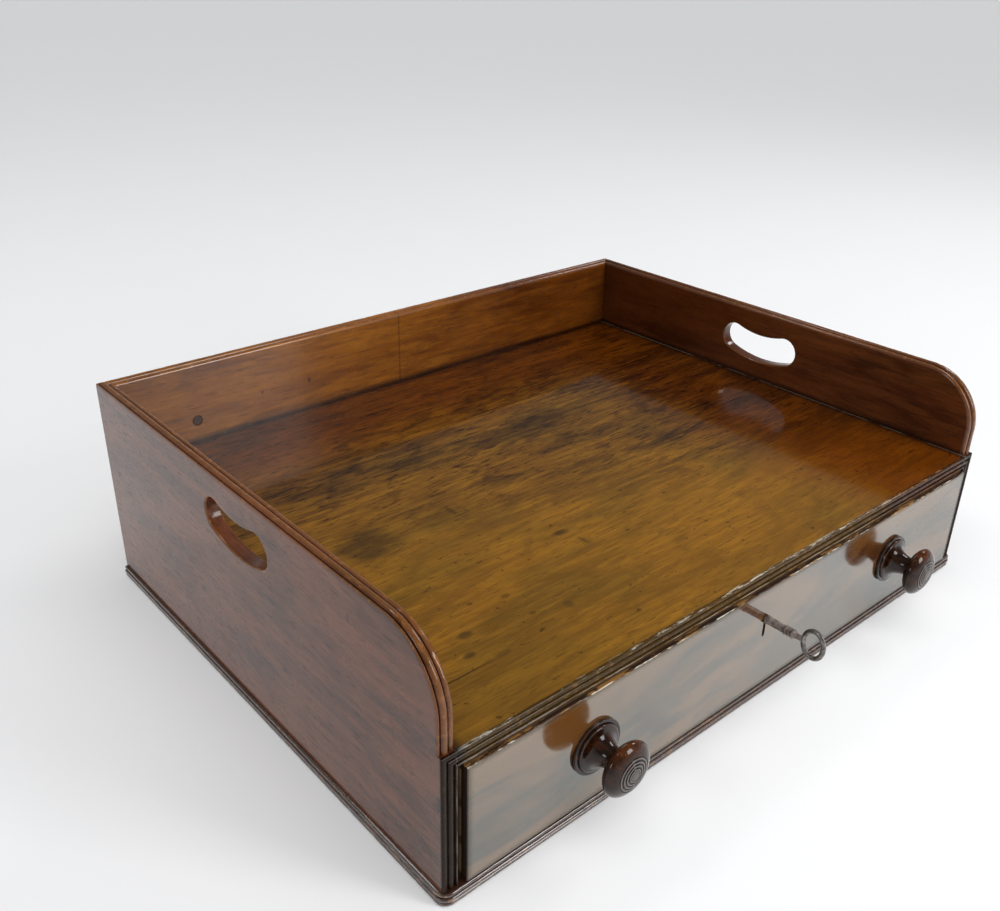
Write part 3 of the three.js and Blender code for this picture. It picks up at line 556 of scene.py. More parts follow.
class Mahogany(Finish):
    """Polished mahogany: bands and ribbons of figure, fine fibres, pores, worn crowns and painted shade in
    the quirks.
    """

    def __init__(self, name, dark, middle, light, axis, shift, worn=(0.34, 0.17, 0.055), grain=0.5):
        super().__init__(name)
        figure = self.noise(along_grain(axis, 4.5, 19), shift, 4.0, distortion=1.6)
        bands = self.smooth(figure, 0.36, 0.64)
        ribbons = self.noise(along_grain(axis, 13, 88), shift, 5.0, 0.6, distortion=1.0)
        ribbons = self.smooth(ribbons, 0.38, 0.66)
        streaks = self.noise(along_grain(axis, 34, 300), shift + 1, 4.0, 0.62, distortion=0.5)
        fibres = self.noise(along_grain(axis, 22, 520), shift, 5.0, 0.65)
        pores = self.smooth(self.noise(along_grain(axis, 85, 760), shift, 2.0), 0.58, 0.67)
        mottle = self.noise((38, 38, 38), shift, 5.0, 0.6)
        specks = self.smooth(self.noise((420, 420, 420), shift + 2, 3.0), 0.66, 0.74)
        uneven = self.smooth(self.noise((9, 14, 14), shift + 9, 3.0), 0.38, 0.62) * 0.8 + 0.2
        pale, dim = self.smooth(streaks, 0.52, 0.68), self.smooth(streaks, 0.48, 0.32)
        patches = self.noise((200, 200, 200), shift + 5, 5.0, 0.7)
        self.fibres = fibres
        self.mottle = mottle
        self.rubbed = self.crown * self.smooth(patches, 0.52, 0.64)
        self.colour = self.mix(dark, middle, bands)
        self.paint(light, ribbons * (0.2 + fibres * 0.5))
        self.paint(light, pale * uneven * grain * 0.5)
        self.stain((0.42, 0.36, 0.34), dim * uneven * grain * 0.7)
        self.stain((0.5, 0.44, 0.42), self.smooth(fibres, 0.56, 0.34) * grain * 0.6)
        self.stain((0.22, 0.18, 0.18), pores * grain * 0.8)
        self.stain((0.55, 0.5, 0.5), self.smooth(mottle, 0.52, 0.75) * 0.55)
        self.paint(worn, self.rubbed * 0.6)
        # Painted shade: near black down in the quirks between the reeds
        self.stain((0.05, 0.035, 0.03), self.quirk * 0.9)
        self.dull = self.quirk * 0.8
        self.height = 0.5 - pores * 0.3 + (fibres - 0.5) * 0.22 - specks * 0.35 + (mottle - 0.5) * 0.35
        self.roughness = 0.2 + mottle * 0.16 + pores * 0.2 + self.dull * 0.4

    def rub_dull(self, mask):
        self.dull = self.math("MAXIMUM", self.dull, mask)

    def bruise(self, mask, depth=0.8):
        """A small dent that holds dark polish."""
        self.stain((0.2, 0.16, 0.15), mask * 0.8)
        self.height = self.height - mask * depth

    def bead(self, where, from_edge):
        """A painted highlight: a pale line along the crown of the thin reed beside the drawer."""
        crown = self.smooth(self.math("ABSOLUTE", from_edge - 0.9 * MM), 0.5 * MM, 0.15 * MM)
        patchy = self.smooth(self.noise((45, 45, 45), 14.0, 4.0), 0.36, 0.6)
        # Painted highlight: pale on the thin reed's crown, in patches
        self.paint((0.4, 0.35, 0.28), where * crown * patchy * 0.75)

    def polish(self, coat=1.0, coat_ior=1.5, coat_roughness=0.12, specular=0.5, bump=0.16 * MM,
               sheen=(1.0, 1.0, 1.0, 1.0)):
        return self.surface(self.roughness, self.height, bump, Coat_Weight=(1.0 - self.dull) * coat,
                            Coat_IOR=coat_ior, Coat_Roughness=coat_roughness,
                            Specular_IOR_Level=specular, Specular_Tint=sheen)

    def polished(self, **values):
        return self.done(self.polish(**values))


CRACK_Y = -151.5 * MM
CRACK_END = -165 * MM

# Dark stains on the tray's floor: x, y, half length and half width in mm, and strength
TRAY_STAINS = (
    (-172, -16, 30, 24, 0.75), (-68, -81, 9, 4, 0.9), (-63, -97, 3, 6, 0.6), (-105, -15, 3, 9, 0.6),
    (-182, -126, 7, 3.5, 0.75), (-191, -141, 5, 3.5, 0.75), (-162, -105, 3, 2.5, 0.6),
    (-141, -112, 4, 2.5, 0.6), (-140, -134, 3, 2, 0.6), (-118, -141, 4, 5, 0.4),
    (-176, -151, 8, 2.5, 0.5), (63, -122, 9, 6, 0.5), (91, -64, 42, 9, 0.55), (10, 48, 62, 16, 0.45),
    (84, -12, 26, 12, 0.35),
)


def tray_finish():
    """The tray's floor, stained and cracked, with painted light: lighter gold toward its front left, redder
    toward the gallery at its right and back.
    """
    wood = Mahogany("tray_wood", (0.07, 0.027, 0.003), (0.165, 0.066, 0.004), (0.3, 0.135, 0.008),
                    axis=0, shift=0.0, worn=(0.13, 0.07, 0.03), grain=1.2)
    smudges = wood.smooth(wood.noise((26, 62, 62), 6.0, 6.0, 0.62, 0.8), 0.5, 0.66)
    wood.stain((0.45, 0.4, 0.36), smudges * 0.85)
    # Painted light: lighter gold toward the front left
    near = wood.smooth(wood.y + wood.x * 0.25, 0.01, -0.1)
    wood.paint((0.38, 0.165, 0.008), near * 0.35)
    spots = wood.smooth(wood.noise((150, 230, 230), 13.0, 4.0, 0.6), 0.63, 0.7)
    wood.stain((0.3, 0.27, 0.27), spots * (0.25 + near * 0.5))
    on_rail = wood.smooth(wood.y, front_y + 2.6 * MM, front_y + 1.8 * MM)
    wood.stain((0.3, 0.33, 0.6), on_rail * (1.0 - wood.rubbed))
    wood.rub_dull(on_rail * 0.5)
    # Pale marks along the rail's top arris: partly chips, partly a painted highlight
    on_top = wood.smooth(wood.z, tray_top - 0.8 * MM, tray_top - 0.4 * MM)
    chips = wood.smooth(wood.noise((60, 520, 520), 8.0, 6.0, 0.75), 0.52, 0.6)
    wood.paint((0.55, 0.48, 0.36), on_rail * on_top * chips * 0.75)
    # Painted highlight on the rail's thin reed beside the drawer
    wood.bead(on_rail, wood.z - tray_under)
    # Painted light: darker and redder toward the right and back
    inland = wood.smooth(wood.x + (wood.mottle - 0.5) * 0.03, 0.17, 0.08)
    inland = inland * wood.smooth(wood.y + (wood.mottle - 0.5) * 0.03, 0.14, 0.05)
    wood.stain((0.5, 0.27, 0.1), (1.0 - inland) * 0.95)
    cloud = wood.smooth(wood.noise((9, 16, 9), 4.0, 3.0), 0.45, 0.62)
    wood.stain((0.62, 0.74, 0.9), cloud * inland * 0.55)
    for x, y, half_length, half_width, strength in TRAY_STAINS:
        mask = wood.spot((x * MM, y * MM, tray_top), (half_length * MM, half_width * MM, 1.0), soft=0.35)
        wood.stain((0.3, 0.32, 0.36), mask * strength)
    wander = (wood.noise((40, 1, 1), 2.0, 3.0) - 0.5) * 6 * MM
    off_line = wood.math("ABSOLUTE", wood.y - CRACK_Y - wander)
    crack = wood.smooth(off_line, 1 * MM, 0.2 * MM) * wood.smooth(wood.x, CRACK_END, CRACK_END - 40 * MM)
    wood.stain((0.2, 0.17, 0.15), crack * 0.75)
    wood.height = wood.height - crack
    # Painted shade: darker where the tray's floor meets the walls
    from_wall = wood.math("MINIMUM", inner_x - wood.math("ABSOLUTE", wood.x), back_inner_y - wood.y)
    wall_foot_shade = wood.smooth(from_wall, 7 * MM, 0.6 * MM) * (0.55 + wood.mottle * 0.6)
    wood.stain((0.14, 0.12, 0.12), wall_foot_shade)
    # A pale grey line at the foot of the right wall: old wax, its paleness a painted reflection
    wax_line_reflection = wood.smooth(inner_x - wood.x, 1.5 * MM, 0.5 * MM) * wood.smooth(wood.mottle, 0.4, 0.5)
    wood.paint((0.2, 0.17, 0.12), wax_line_reflection * 0.6)
    scratch = wood.smooth(wood.noise((900, 34, 60), 8.0, 2.0, distortion=0.3), 0.69, 0.72)
    wood.stain((0.6, 0.6, 0.62), scratch * 0.5)
    wood.roughness = wood.roughness + 0.08
    return wood.polished(coat=0.7, coat_roughness=0.09, specular=0.05)


def side_finish(name, shift, dark, middle, light):
    """A side board, its grain front to back, with painted shade low on the gallery's inner face and a
    painted highlight on the stile's thin reed.
    """
    wood = Mahogany(name, dark, middle, light, axis=1, shift=shift, worn=(0.42, 0.17, 0.05))
    on_stile = wood.smooth(wood.y, front_y + 2.2 * MM, front_y + 1.4 * MM)
    on_stile = on_stile * wood.smooth(wood.z, tray_top + 0.5 * MM, tray_top)
    wood.paint((0.19, 0.072, 0.01), wood.crown * 0.6)
    wood.stain((0.12, 0.14, 0.14), on_stile)
    wood.rub_dull(on_stile * 0.8)
    from_inside = wood.math("ABSOLUTE", wood.x) - inner_x
    # Painted highlight on the stile's thin reed beside the drawer
    wood.bead(on_stile, from_inside)
    # Painted shade: darker low on the inner face, where it meets the tray's floor
    inside = wood.smooth(from_inside, 2 * MM, 0.5 * MM)
    low = wood.smooth(wood.z, tray_top + 5 * MM, tray_top + 0.5 * MM)
    wood.stain((0.15, 0.12, 0.12), low * inside * 0.85)
    dents = wood.smooth(wood.noise((75, 75, 75), shift + 11, 1.0), 0.755, 0.79)
    wood.bruise(dents, 0.5)
    return wood


def left_finish():
    wood = side_finish("left_side_wood", 12.0, (0.045, 0.013, 0.005), (0.13, 0.036, 0.013),
                       (0.22, 0.072, 0.028))
    wood.bruise(wood.spot((-outer_x, 51 * MM, 63 * MM), (1.0, 5 * MM, 2 * MM), soft=0.2))
    wood.bruise(wood.spot((-outer_x, -118 * MM, 135 * MM), (1.0, 2 * MM, 3 * MM), soft=0.2))
    return wood.polished(coat=0.7, coat_ior=1.45, specular=0.1)


def right_finish():
    wood = side_finish("right_side_wood", 27.0, (0.05, 0.011, 0.0025), (0.11, 0.027, 0.005),
                       (0.17, 0.05, 0.012))
    # Painted shade: darker toward the back
    wood.stain((0.5, 0.42, 0.36), wood.smooth(wood.y, -0.06, 0.15) * 0.8)
    return wood.polished(coat=0.8, specular=0.1)


def back_finish():
    """The back board, with painted shade toward its right and low on its inner face, a thin upright mark
    and two dents.
    """
    wood = Mahogany("back_wood", (0.13, 0.034, 0.003), (0.24, 0.076, 0.006), (0.4, 0.15, 0.015),
                    axis=0, shift=41.0, grain=0.6)
    # Painted shade: darker toward the right
    wood.stain((0.5, 0.38, 0.3), wood.smooth(wood.x, -0.06, 0.17) * 0.85)
    # Painted shade: darker low on the inner face, where it meets the tray's floor
    low = wood.smooth(wood.z, tray_top + 5 * MM, tray_top + 0.5 * MM)
    wood.stain((0.12, 0.1, 0.1), low * wood.smooth(wood.y, back_inner_y + 2 * MM, back_inner_y) * 0.9)
    upright = wood.smooth(wood.math("ABSOLUTE", wood.x + 3 * MM), 1.2 * MM, 0.3 * MM)
    wood.stain((0.45, 0.36, 0.34), upright * 0.7)
    wood.bruise(wood.spot((-131 * MM, back_inner_y, 121 * MM), (1.6 * MM, 1.0, 1.6 * MM), 0.2))
    wood.bruise(wood.spot((-90 * MM, back_inner_y, 120.5 * MM), (1.7 * MM, 1.0, 3 * MM), 0.2))
    ring_size = (5.2 * MM, 1.0, 5.2 * MM)
    wood.stain((0.3, 0.24, 0.22), wood.spot(tuple(plug_place), ring_size, 0.1, 0.7) * 0.8)
    return wood.polished(coat=0.8, specular=0.3)


def front_finish():
    """The drawer front, the glossiest board: tan, its reflections given a painted bluish tint, with specks,
    small dents, painted shade round its edges and in the gap, and painted highlights on its top arris.
    """
    wood = Mahogany("drawer_front_wood", (0.065, 0.02, 0.006), (0.1, 0.036, 0.01),
                    (0.17, 0.07, 0.02), axis=0, shift=58.0, worn=(0.55, 0.36, 0.17), grain=0.2)
    tan = wood.smooth(wood.noise((7, 26, 26), 31.0, 4.0, 0.6, 0.6), 0.42, 0.6)
    wood.paint((0.22, 0.09, 0.022), tan * 0.5)
    wood.stain((0.66, 0.56, 0.6), 0.9 - tan * 0.9)
    from_end = wood.math("MINIMUM", front_high.z - wood.z, wood.z - front_low.z)
    across = wood.math("MINIMUM", front_high.x - wood.x, wood.x - front_low.x)
    border = wood.math("MINIMUM", from_end, across)
    # Painted shade: darker in a band round the face's edges, beside the gap to the frame
    wood.stain((0.3, 0.24, 0.22), wood.smooth(border, 3.5 * MM, 0.8 * MM) * 0.75)
    at_end = wood.smooth(across, 0.8 * MM, 0.2 * MM)
    from_face = wood.y - front_low.y
    shown = wood.smooth(from_face - at_end * 2.6 * MM, 3.2 * MM, 2.2 * MM)
    bare = wood.mix((0.1, 0.045, 0.022), (0.2, 0.1, 0.05), wood.fibres)
    wood.paint(bare, 1.0 - shown)
    # Painted shade: near black on the faces set back in the gap round the drawer
    shaded_gap_faces = wood.smooth(from_face, 0.3 * MM, 0.9 * MM) * shown
    wood.paint((0.012, 0.008, 0.005), shaded_gap_faces * 0.9)
    top = wood.smooth(front_high.z - wood.z, 1.1 * MM, 0.3 * MM) * shown
    gold = top * wood.smooth(wood.noise((55, 300, 300), 3.0, 5.0, 0.7), 0.5, 0.58)
    wood.paint((0.34, 0.17, 0.045), gold * 0.7)
    arris = wood.smooth(wood.math("ABSOLUTE", from_face - 0.35 * MM), 0.35 * MM, 0.1 * MM)
    # Near white nicks on the top arris: partly chips, partly a painted highlight
    nicks_and_highlight = top * arris * wood.smooth(wood.noise((90, 520, 520), 22.0, 4.0, 0.7), 0.52, 0.6)
    wood.paint((0.7, 0.64, 0.52), nicks_and_highlight * 0.8)
    glints = wood.smooth(wood.noise((48, 400, 400), 27.0, 5.0, 0.7), 0.58, 0.66)
    off_face = wood.smooth(from_face, 0.005 * MM, 0.03 * MM)
    wood.dull = (shaded_gap_faces * (1.0 - top) * 0.95 + top * off_face * (0.95 - glints * 0.75)
                 + (1.0 - shown) * 0.95)
    wood.rub_dull(wood.smooth(border, 5 * MM, 0.5 * MM) * 0.45)
    wood.rub_dull(wood.smooth(wood.x, 40 * MM, 220 * MM) * 0.25)
    wood.roughness = wood.roughness * 0.4 + wood.dull * 0.55
    dents = wood.smooth(wood.noise((95, 95, 95), 19.0, 1.0), 0.75, 0.79)
    wood.bruise(dents, 0.6)
    # Painted reflection: the specular tint turns the face's reflections bluish
    face = wood.polish(coat_ior=2.05, coat_roughness=0.09, specular=0.55,
                       sheen=(0.2, 1.0, 0.8, 1.0), bump=0.06 * MM)
    edge = wood.polish(coat=0.6, specular=0.3)
    return wood.done(wood.node("ShaderNodeMixShader", {}, {
        "Fac": off_face, "Shader": face, "Shader_001": edge}))


def base_finish():
    wood = Mahogany("base_wood", (0.03, 0.012, 0.007), (0.05, 0.021, 0.012), (0.09, 0.043, 0.025),
                    axis=0, shift=73.0)
    return wood.polished(coat_ior=1.6)


def knob_finish():
    """Dark turned mahogany with a very glossy polish, with painted light in orange-brown on the upper half
    of its bun, painted highlights on its rings and painted shade in their cuts.
    """
    wood = Finish("knob_wood")
    streaks = wood.noise((300, 14, 300), 5.0, 4.0)
    flecks = wood.smooth(wood.noise((900, 240, 900), 9.0, 3.0), 0.56, 0.72)
    wood.colour = wood.mix((0.008, 0.003, 0.0015), (0.035, 0.01, 0.003),
                           wood.smooth(streaks, 0.35, 0.7))
    # Painted light: orange-brown on the upper half of the bun
    lit_upper_bun = wood.smooth(wood.z, key_height - 8 * MM, key_height + 8 * MM)
    lit_upper_bun = lit_upper_bun * wood.smooth(wood.y, front_low.y - 13 * MM, front_low.y - 17 * MM)
    wood.paint((0.33, 0.085, 0.01), lit_upper_bun * (0.2 + flecks * 0.65))
    # Painted highlight: pale grey on the ring ridges, the flange's roundings and the button
    wood.paint((0.42, 0.4, 0.37), wood.crown * 0.55)
    # Painted shade: near black in the ring cuts
    wood.stain((0.06, 0.05, 0.05), wood.quirk * 0.95)
    roughness = 0.16 + streaks * 0.12 + wood.quirk * 0.3
    return wood.close(roughness, streaks * 0.5 + flecks * 0.5, 0.08 * MM, Coat_Weight=0.75,
                      Coat_Roughness=0.04, Coat_IOR=1.42, Specular_IOR_Level=0.05)


def lining_finish():
    """Unpolished drawer linings, with dusty patches."""
    wood = Finish("lining_wood")
    bands = wood.smooth(wood.noise((9, 4, 30), 3.0, 4.0, distortion=0.5), 0.35, 0.68)
    fibres = wood.noise((200, 22, 420), 6.0, 5.0, 0.65)
    dust = wood.noise((24, 24, 24), 9.0, 4.0)
    wood.colour = wood.mix((0.23, 0.13, 0.062), (0.36, 0.225, 0.118), bands)
    wood.paint((0.16, 0.085, 0.04), wood.smooth(fibres, 0.55, 0.3) * 0.6)
    wood.stain((0.5, 0.42, 0.36), wood.smooth(dust, 0.5, 0.75) * 0.6)
    return wood.close(0.6 + dust * 0.25, fibres, 0.12 * MM)


def plug_finish():
    wood = Finish("plug_wood")
    rings = wood.noise((420, 60, 420), 1.0, 4.0)
    wood.colour = wood.mix((0.025, 0.011, 0.008), (0.07, 0.032, 0.022), wood.smooth(rings, 0.35, 0.65))
    return wood.close(0.35 + rings * 0.2, rings, 0.15 * MM, Coat_Weight=0.5)


def metal_finish(name, dark, bright, tarnish, roughness, amount):
    """Old metal: bright where it is rubbed, under patches of tarnish."""
    metal = Finish(name)
    patches = metal.smooth(metal.noise((160, 160, 160), 3.0, 5.0, 0.62), 0.4, 0.64)
    pits = metal.smooth(metal.noise((1300, 1300, 1300), 6.0, 3.0), 0.58, 0.7)
    scratches = metal.noise((2200, 260, 2200), 8.0, 2.0)
    metal.colour = metal.mix(bright, dark, scratches)
    metal.paint(tarnish, patches * amount)
    metal.stain((0.3, 0.24, 0.2), pits * 0.6)
    rough = roughness + patches * 0.2 + pits * 0.2
    return metal.close(rough, 1.0 - pits * 0.7 - scratches * 0.2, 0.05 * MM,
                       0.95 - patches * amount * 0.5)


def key_finish():
    """The key: brown with old rust on its shank, rubbed to bright steel on its bow."""
    metal = Finish("key_steel")
    bow = metal.smooth(metal.y, bow_start + 1 * MM, bow_start - 2 * MM)
    patches = metal.smooth(metal.noise((210, 210, 210), 3.0, 5.0, 0.62), 0.38, 0.62)
    pits = metal.smooth(metal.noise((1500, 900, 1500), 6.0, 3.0), 0.56, 0.7)
    shank = metal.mix((0.24, 0.195, 0.175), (0.09, 0.07, 0.06), patches)
    rubbed = metal.mix((0.3, 0.285, 0.27), (0.12, 0.105, 0.095), patches)
    metal.colour = metal.mix(shank, rubbed, bow)
    metal.stain((0.3, 0.22, 0.18), pits * 0.7)
    rough = 0.5 - bow * 0.2 + pits * 0.2
    return metal.close(rough, 1.0 - pits, 0.08 * MM, 0.6 + bow * 0.3)


# The boards

def gallery_stations(sign):
    """Along the top of a side from its back mitre, round the front corner and down to the tray."""
    inward = -sign * X
    at_back = Vector((sign * outer_x, back_y - MITRE_GAP, case_top))
    stations = [(at_back, inward - Y * (back_thickness / side_thickness), Z)]
    stations.append((at_back - Y * (back_thickness + 2 * MM), inward, Z))
    middle_y = front_y + GALLERY_SET_BACK + GALLERY_RADIUS
    middle_z = case_top - GALLERY_RADIUS
    steps = 40
    for i in range(steps + 1):
        angle = math.pi / 2 * (1 + i / steps)
        out = Vector((0, math.cos(angle), math.sin(angle)))
        at = Vector((sign * outer_x, middle_y, middle_z)) + out * GALLERY_RADIUS
        stations.append((at, inward, out))
    stations.append((Vector((sign * outer_x, front_y + GALLERY_SET_BACK, tray_top)), inward, -Y))
    return walked(stations)


def stile_stations(sign):
    """Up a side's front edge to the mitre with the rail above the drawer."""
    outward = sign * X
    foot = Vector((sign * inner_x, front_y, base_top))
    head = Vector((sign * inner_x, front_y, tray_under))
    return walked([(foot, outward, -Y), (head, outward + Z, -Y)])


def arc_points(centre, radius, start, end, steps):
    """Points along an arc, without its last one."""
    turns = [start + (end - start) * i / steps for i in range(steps)]
    return [(centre[0] + radius * math.cos(t), centre[1] + radius * math.sin(t)) for t in turns]


def hand_hole(grow, steps=20):
    """The hand hole's outline grown by an amount: a slot bent about a centre above it."""
    half = HOLE_HEIGHT / 2
    bend = (0.0, HOLE_MIDDLE + HOLE_BEND)
    turn = math.asin((HOLE_LENGTH / 2 - half) / HOLE_BEND)
    end_y = HOLE_BEND * math.sin(turn)
    end_z = bend[1] - HOLE_BEND * math.cos(turn)
    down = -math.pi / 2
    radius = half + grow
    return [
        *arc_points(bend, HOLE_BEND + radius, down - turn, down + turn, steps),
        *arc_points((end_y, end_z), radius, down + turn, down + turn + math.pi, steps),
        *arc_points(bend, HOLE_BEND - radius, down + turn, down - turn, steps),
        *arc_points((-end_y, end_z), radius, -down - turn, math.pi - down - turn, steps),
    ]


def hole_rings(steps=6):
    """Rings through a hand hole whose rims are rounded on both faces."""
    rim = []
    for i in range(steps + 1):
        angle = i / steps * math.pi / 2
        rim.append((HOLE_ROUNDING * (1 - math.cos(angle)), HOLE_ROUNDING * (1 - math.sin(angle)),
                    math.sin(2 * angle)))
    far = [(side_thickness - depth, grow, tone) for depth, grow, tone in reversed(rim)]
    return [(hand_hole(grow), depth, tone) for depth, grow, tone in rim + far]


def side_outline():
    """The side board within its reeded edges, in Y and Z."""
    top = reed_depth(GALLERY_REEDS)
    front = reed_depth(FRAME_REEDS)
    middle = (front_y + GALLERY_SET_BACK + GALLERY_RADIUS, case_top - GALLERY_RADIUS)
    return [
        (back_y, base_top), (back_y, case_top - top),
        *arc_points(middle, GALLERY_RADIUS - top, math.pi / 2, math.pi, 40),
        (middle[0] - GALLERY_RADIUS + top, middle[1]),
        (front_y + GALLERY_SET_BACK + top, tray_top), (front_y + front, tray_top),
        (front_y + front, base_top),
    ]


def make_side(name, sign, finish):
    """A side board with its gallery reeds, its stile's reeds and the mitred end of the rail's."""
    shells = Shells()

    def place(y, z, depth):
        share = depth / side_thickness
        mitred = back_y - MITRE_GAP - back_thickness * share if y > back_inner_y else y
        return Vector((sign * (outer_x - depth), mitred, z))

    slab(shells, side_outline(), place, [hole_rings()], side_thickness)
    gallery = reed_section(side_thickness, **GALLERY_REEDS)
    around = reed_section(side_thickness, **FRAME_REEDS)
    corner = Vector((sign * inner_x, front_y, tray_under))
    rail_end = [(corner, Z, -Y), (corner + sign * X * SAME_PLACE, sign * X + Z, -Y)]
    shells.add_mesh(carried(gallery, gallery_stations(sign), finish, seed=sign * 3.0))
    shells.add_mesh(carried(around, stile_stations(sign), finish, seed=sign * 5.0))
    shells.add_mesh(carried(around, rail_end, finish, seed=sign * 6.0))
    shells.piece(name + "_piece", finish, "carcass", name)


def make_back(finish):
    shells = Shells()
    top = reed_depth(GALLERY_REEDS)
    hole_radius, hole_depth = 3.8 * MM, 5.3 * MM
    ring = arc_points((plug_place.x, plug_place.z), hole_radius, 0, 2 * math.pi, 32)

    def place(x, z, depth):
        share = depth / back_thickness
        edge = outer_x - back_thickness * (1 - share)
        return Vector((math.copysign(edge - MITRE_GAP, x) if abs(x) > inner_x - MM else x,
                       back_inner_y + depth, z))

    outline = [(-inner_x, base_top), (inner_x, base_top), (inner_x, case_top - top),
               (-inner_x, case_top - top)]
    slab(shells, outline, place, [[(ring, 0.0, 0.0), (ring, hole_depth, 0.0)]], back_thickness)
    left, right = [Vector((sign * (outer_x - MITRE_GAP), back_y, case_top)) for sign in (-1, 1)]
    mitre = X * (side_thickness / back_thickness)
    past_mitre = X * 12 * MM
    stations = [(left, -Y + mitre, Z), (left + past_mitre, -Y, Z), (right - past_mitre, -Y, Z),
                (right, -Y - mitre, Z)]
    section = reed_section(back_thickness, **GALLERY_REEDS)
    shells.add_mesh(carried(section, walked(stations), finish, seed=9.0))
    shells.piece("back_board_piece", finish, "carcass", "back_board")


def make_tray(finish):
    """The tray's floor and the rail above the drawer, with a mortise below for the bolt."""
    shells = Shells()
    seat = front_y + reed_depth(FRAME_REEDS)
    outline = [(-inner_x, seat), (inner_x, seat), (inner_x, back_inner_y), (-inner_x, back_inner_y)]
    spare, mortise_depth = 0.3 * MM, 5 * MM
    left, right = bolt_low.x - spare, bolt_high.x + spare
    near, far = bolt_low.y - spare, bolt_high.y + spare
    mouth = [(left, near), (right, near), (right, far), (left, far)]
    mortise = [(mouth, 0.0, 0.0), (mouth, mortise_depth, 0.0)]
    slab(shells, outline, lambda x, y, depth: Vector((x, y, tray_under + depth)), [mortise],
         tray_thickness)
    section = reed_section(tray_thickness, **FRAME_REEDS)
    stations = [(Vector((sign * inner_x, front_y, tray_under)), Z, -Y) for sign in (-1, 1)]
    shells.add_mesh(carried(section, walked(stations), finish, wear=0.55 * MM, seed=11.0))
    shells.piece("tray_board_piece", finish, "carcass", "tray_board")


def base_outline(inset):
    """The base board's outline, moved in from its front and ends."""
    radius = BASE_RADIUS - inset
    end_x = base_high.x - inset
    start_y = base_low.y + inset
    centre_y = start_y + radius
    return [
        (end_x, base_high.y), (-end_x, base_high.y),
        *arc_points((-end_x + radius, centre_y), radius, math.pi, 1.5 * math.pi, 12),
        (-end_x + radius, start_y),
        *arc_points((end_x - radius, centre_y), radius, 1.5 * math.pi, 2 * math.pi, 12),
        (end_x, centre_y),
    ]


def make_base(finish):
    """The base board, with a countersunk hole in its underside for each screw."""
    shells = Shells()
    thickness = base_high.z - base_low.z
    holes = []
    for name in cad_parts:
        if name.startswith("base_screw"):
            low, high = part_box(name)
            middle = ((low.x + high.x) / 2, (low.y + high.y) / 2)
            wide, narrow = (high.x - low.x) / 2 + 0.3 * MM, 2 * MM
            lip, sink, deep = 0.4 * MM, 3.2 * MM, 6 * MM
            rings = [(wide, 0.0), (wide, lip), (narrow, sink), (narrow, deep)]
            holes.append([(arc_points(middle, r, 0, 2 * math.pi, 24), depth, 0.0) for r, depth in rings])
    slab(shells, base_outline(reed_depth(BASE_REEDS)), lambda x, y, depth: Vector((x, y, depth)),
         holes, thickness)
    outline = [Vector((x, y, 0.0)) for x, y in base_outline(0.0)[1:]]
    outline.append(Vector((base_high.x, base_high.y, 0.0)))
    stations = []
    for i, at in enumerate(outline):
        before = (at - outline[i - 1]).normalized() if i else -Y
        after = (outline[i + 1] - at).normalized() if i + 1 < len(outline) else Y
        run = (before + after).normalized()
        stations.append((at, Z, Vector((run.y, -run.x, 0.0))))
    section = reed_section(thickness, **BASE_REEDS)
    shells.add_mesh(carried(section, walked(stations), finish, wear=0.45 * MM, seed=13.0))
    shells.piece("base_board_piece", finish, "carcass", "base_board")


def arris_section(radius):
    """What wear takes off the drawer front's edges: the space outside a rounded corner."""
    steps, overlap, out = 8, 0.02 * MM, -1 * MM
    points = []
    for i in range(steps + 1):
        angle = i / steps * math.pi / 2
        points.append((radius * (1 - math.sin(angle)) - overlap, radius * (1 - math.cos(angle)) - overlap,
                       math.sin(2 * angle)))
    corner = [(out, radius - overlap, 0.0), (out, out, 0.0), (radius - overlap, out, 0.0)]
    return [*points, *corner, points[0]]


def make_drawer_front(finish):
    """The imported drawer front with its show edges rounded, worn and chipped."""
    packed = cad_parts["drawer_front"]
    blank = packed.data.copy()
    mend(blank, merge=True)
    board = add_object("drawer_front_blank", blank)
    corners = [(-1, 1), (-1, -1), (1, -1), (1, 1), (-1, 1)]
    stations = []
    for sx, sz in corners:
        at = Vector((front_low.x if sx < 0 else front_high.x, front_low.y,
                     front_low.z if sz < 0 else front_high.z))
        stations.append((at, Vector((-sx, 0, -sz)), -Y))
    strip = carried(arris_section(ARRIS_RADIUS), walked(stations, 2.4 * MM), finish, wear=0.7 * MM,
                    chip=5 * MM, seed=17.0)
    mend(strip)
    worn = add_object("drawer_front_wear", strip)
    modifier = board.modifiers.new("wear", "BOOLEAN")
    modifier.operation = "DIFFERENCE"
    modifier.solver = "EXACT"
    modifier.object = worn
    graph = bpy.context.evaluated_depsgraph_get()
    mesh = bpy.data.meshes.new_from_object(board.evaluated_get(graph))
    board.modifiers.remove(modifier)
    remove_object(board)
    remove_object(worn)
    shells = Shells()
    shells.add_mesh(mesh)
    shells.piece("drawer_front_piece", finish, "drawer", "drawer_front")


# Knobs and key

def rounded(profile, radius, tone=0.0, steps=4):
    """A profile of (radius, height, arris) points with each marked arris rounded off."""
    made = []
    for i, (r, h, soften) in enumerate(profile):
        here = Vector((r, h))
        if not soften or i in (0, len(profile) - 1):
            made.append((r, h, 0.0))
            continue
        before = Vector(profile[i - 1][:2]) - here
        after = Vector(profile[i + 1][:2]) - here
        reach = min(radius, before.length * 0.45, after.length * 0.45)
        start, end = here + before.normalized() * reach, here + after.normalized() * reach
        for step in range(steps + 1):
            share = step / steps
            point = start.lerp(here, share).lerp(here.lerp(end, share), share)
            made.append((point.x, point.y, tone * math.sin(math.pi * share)))
    return made


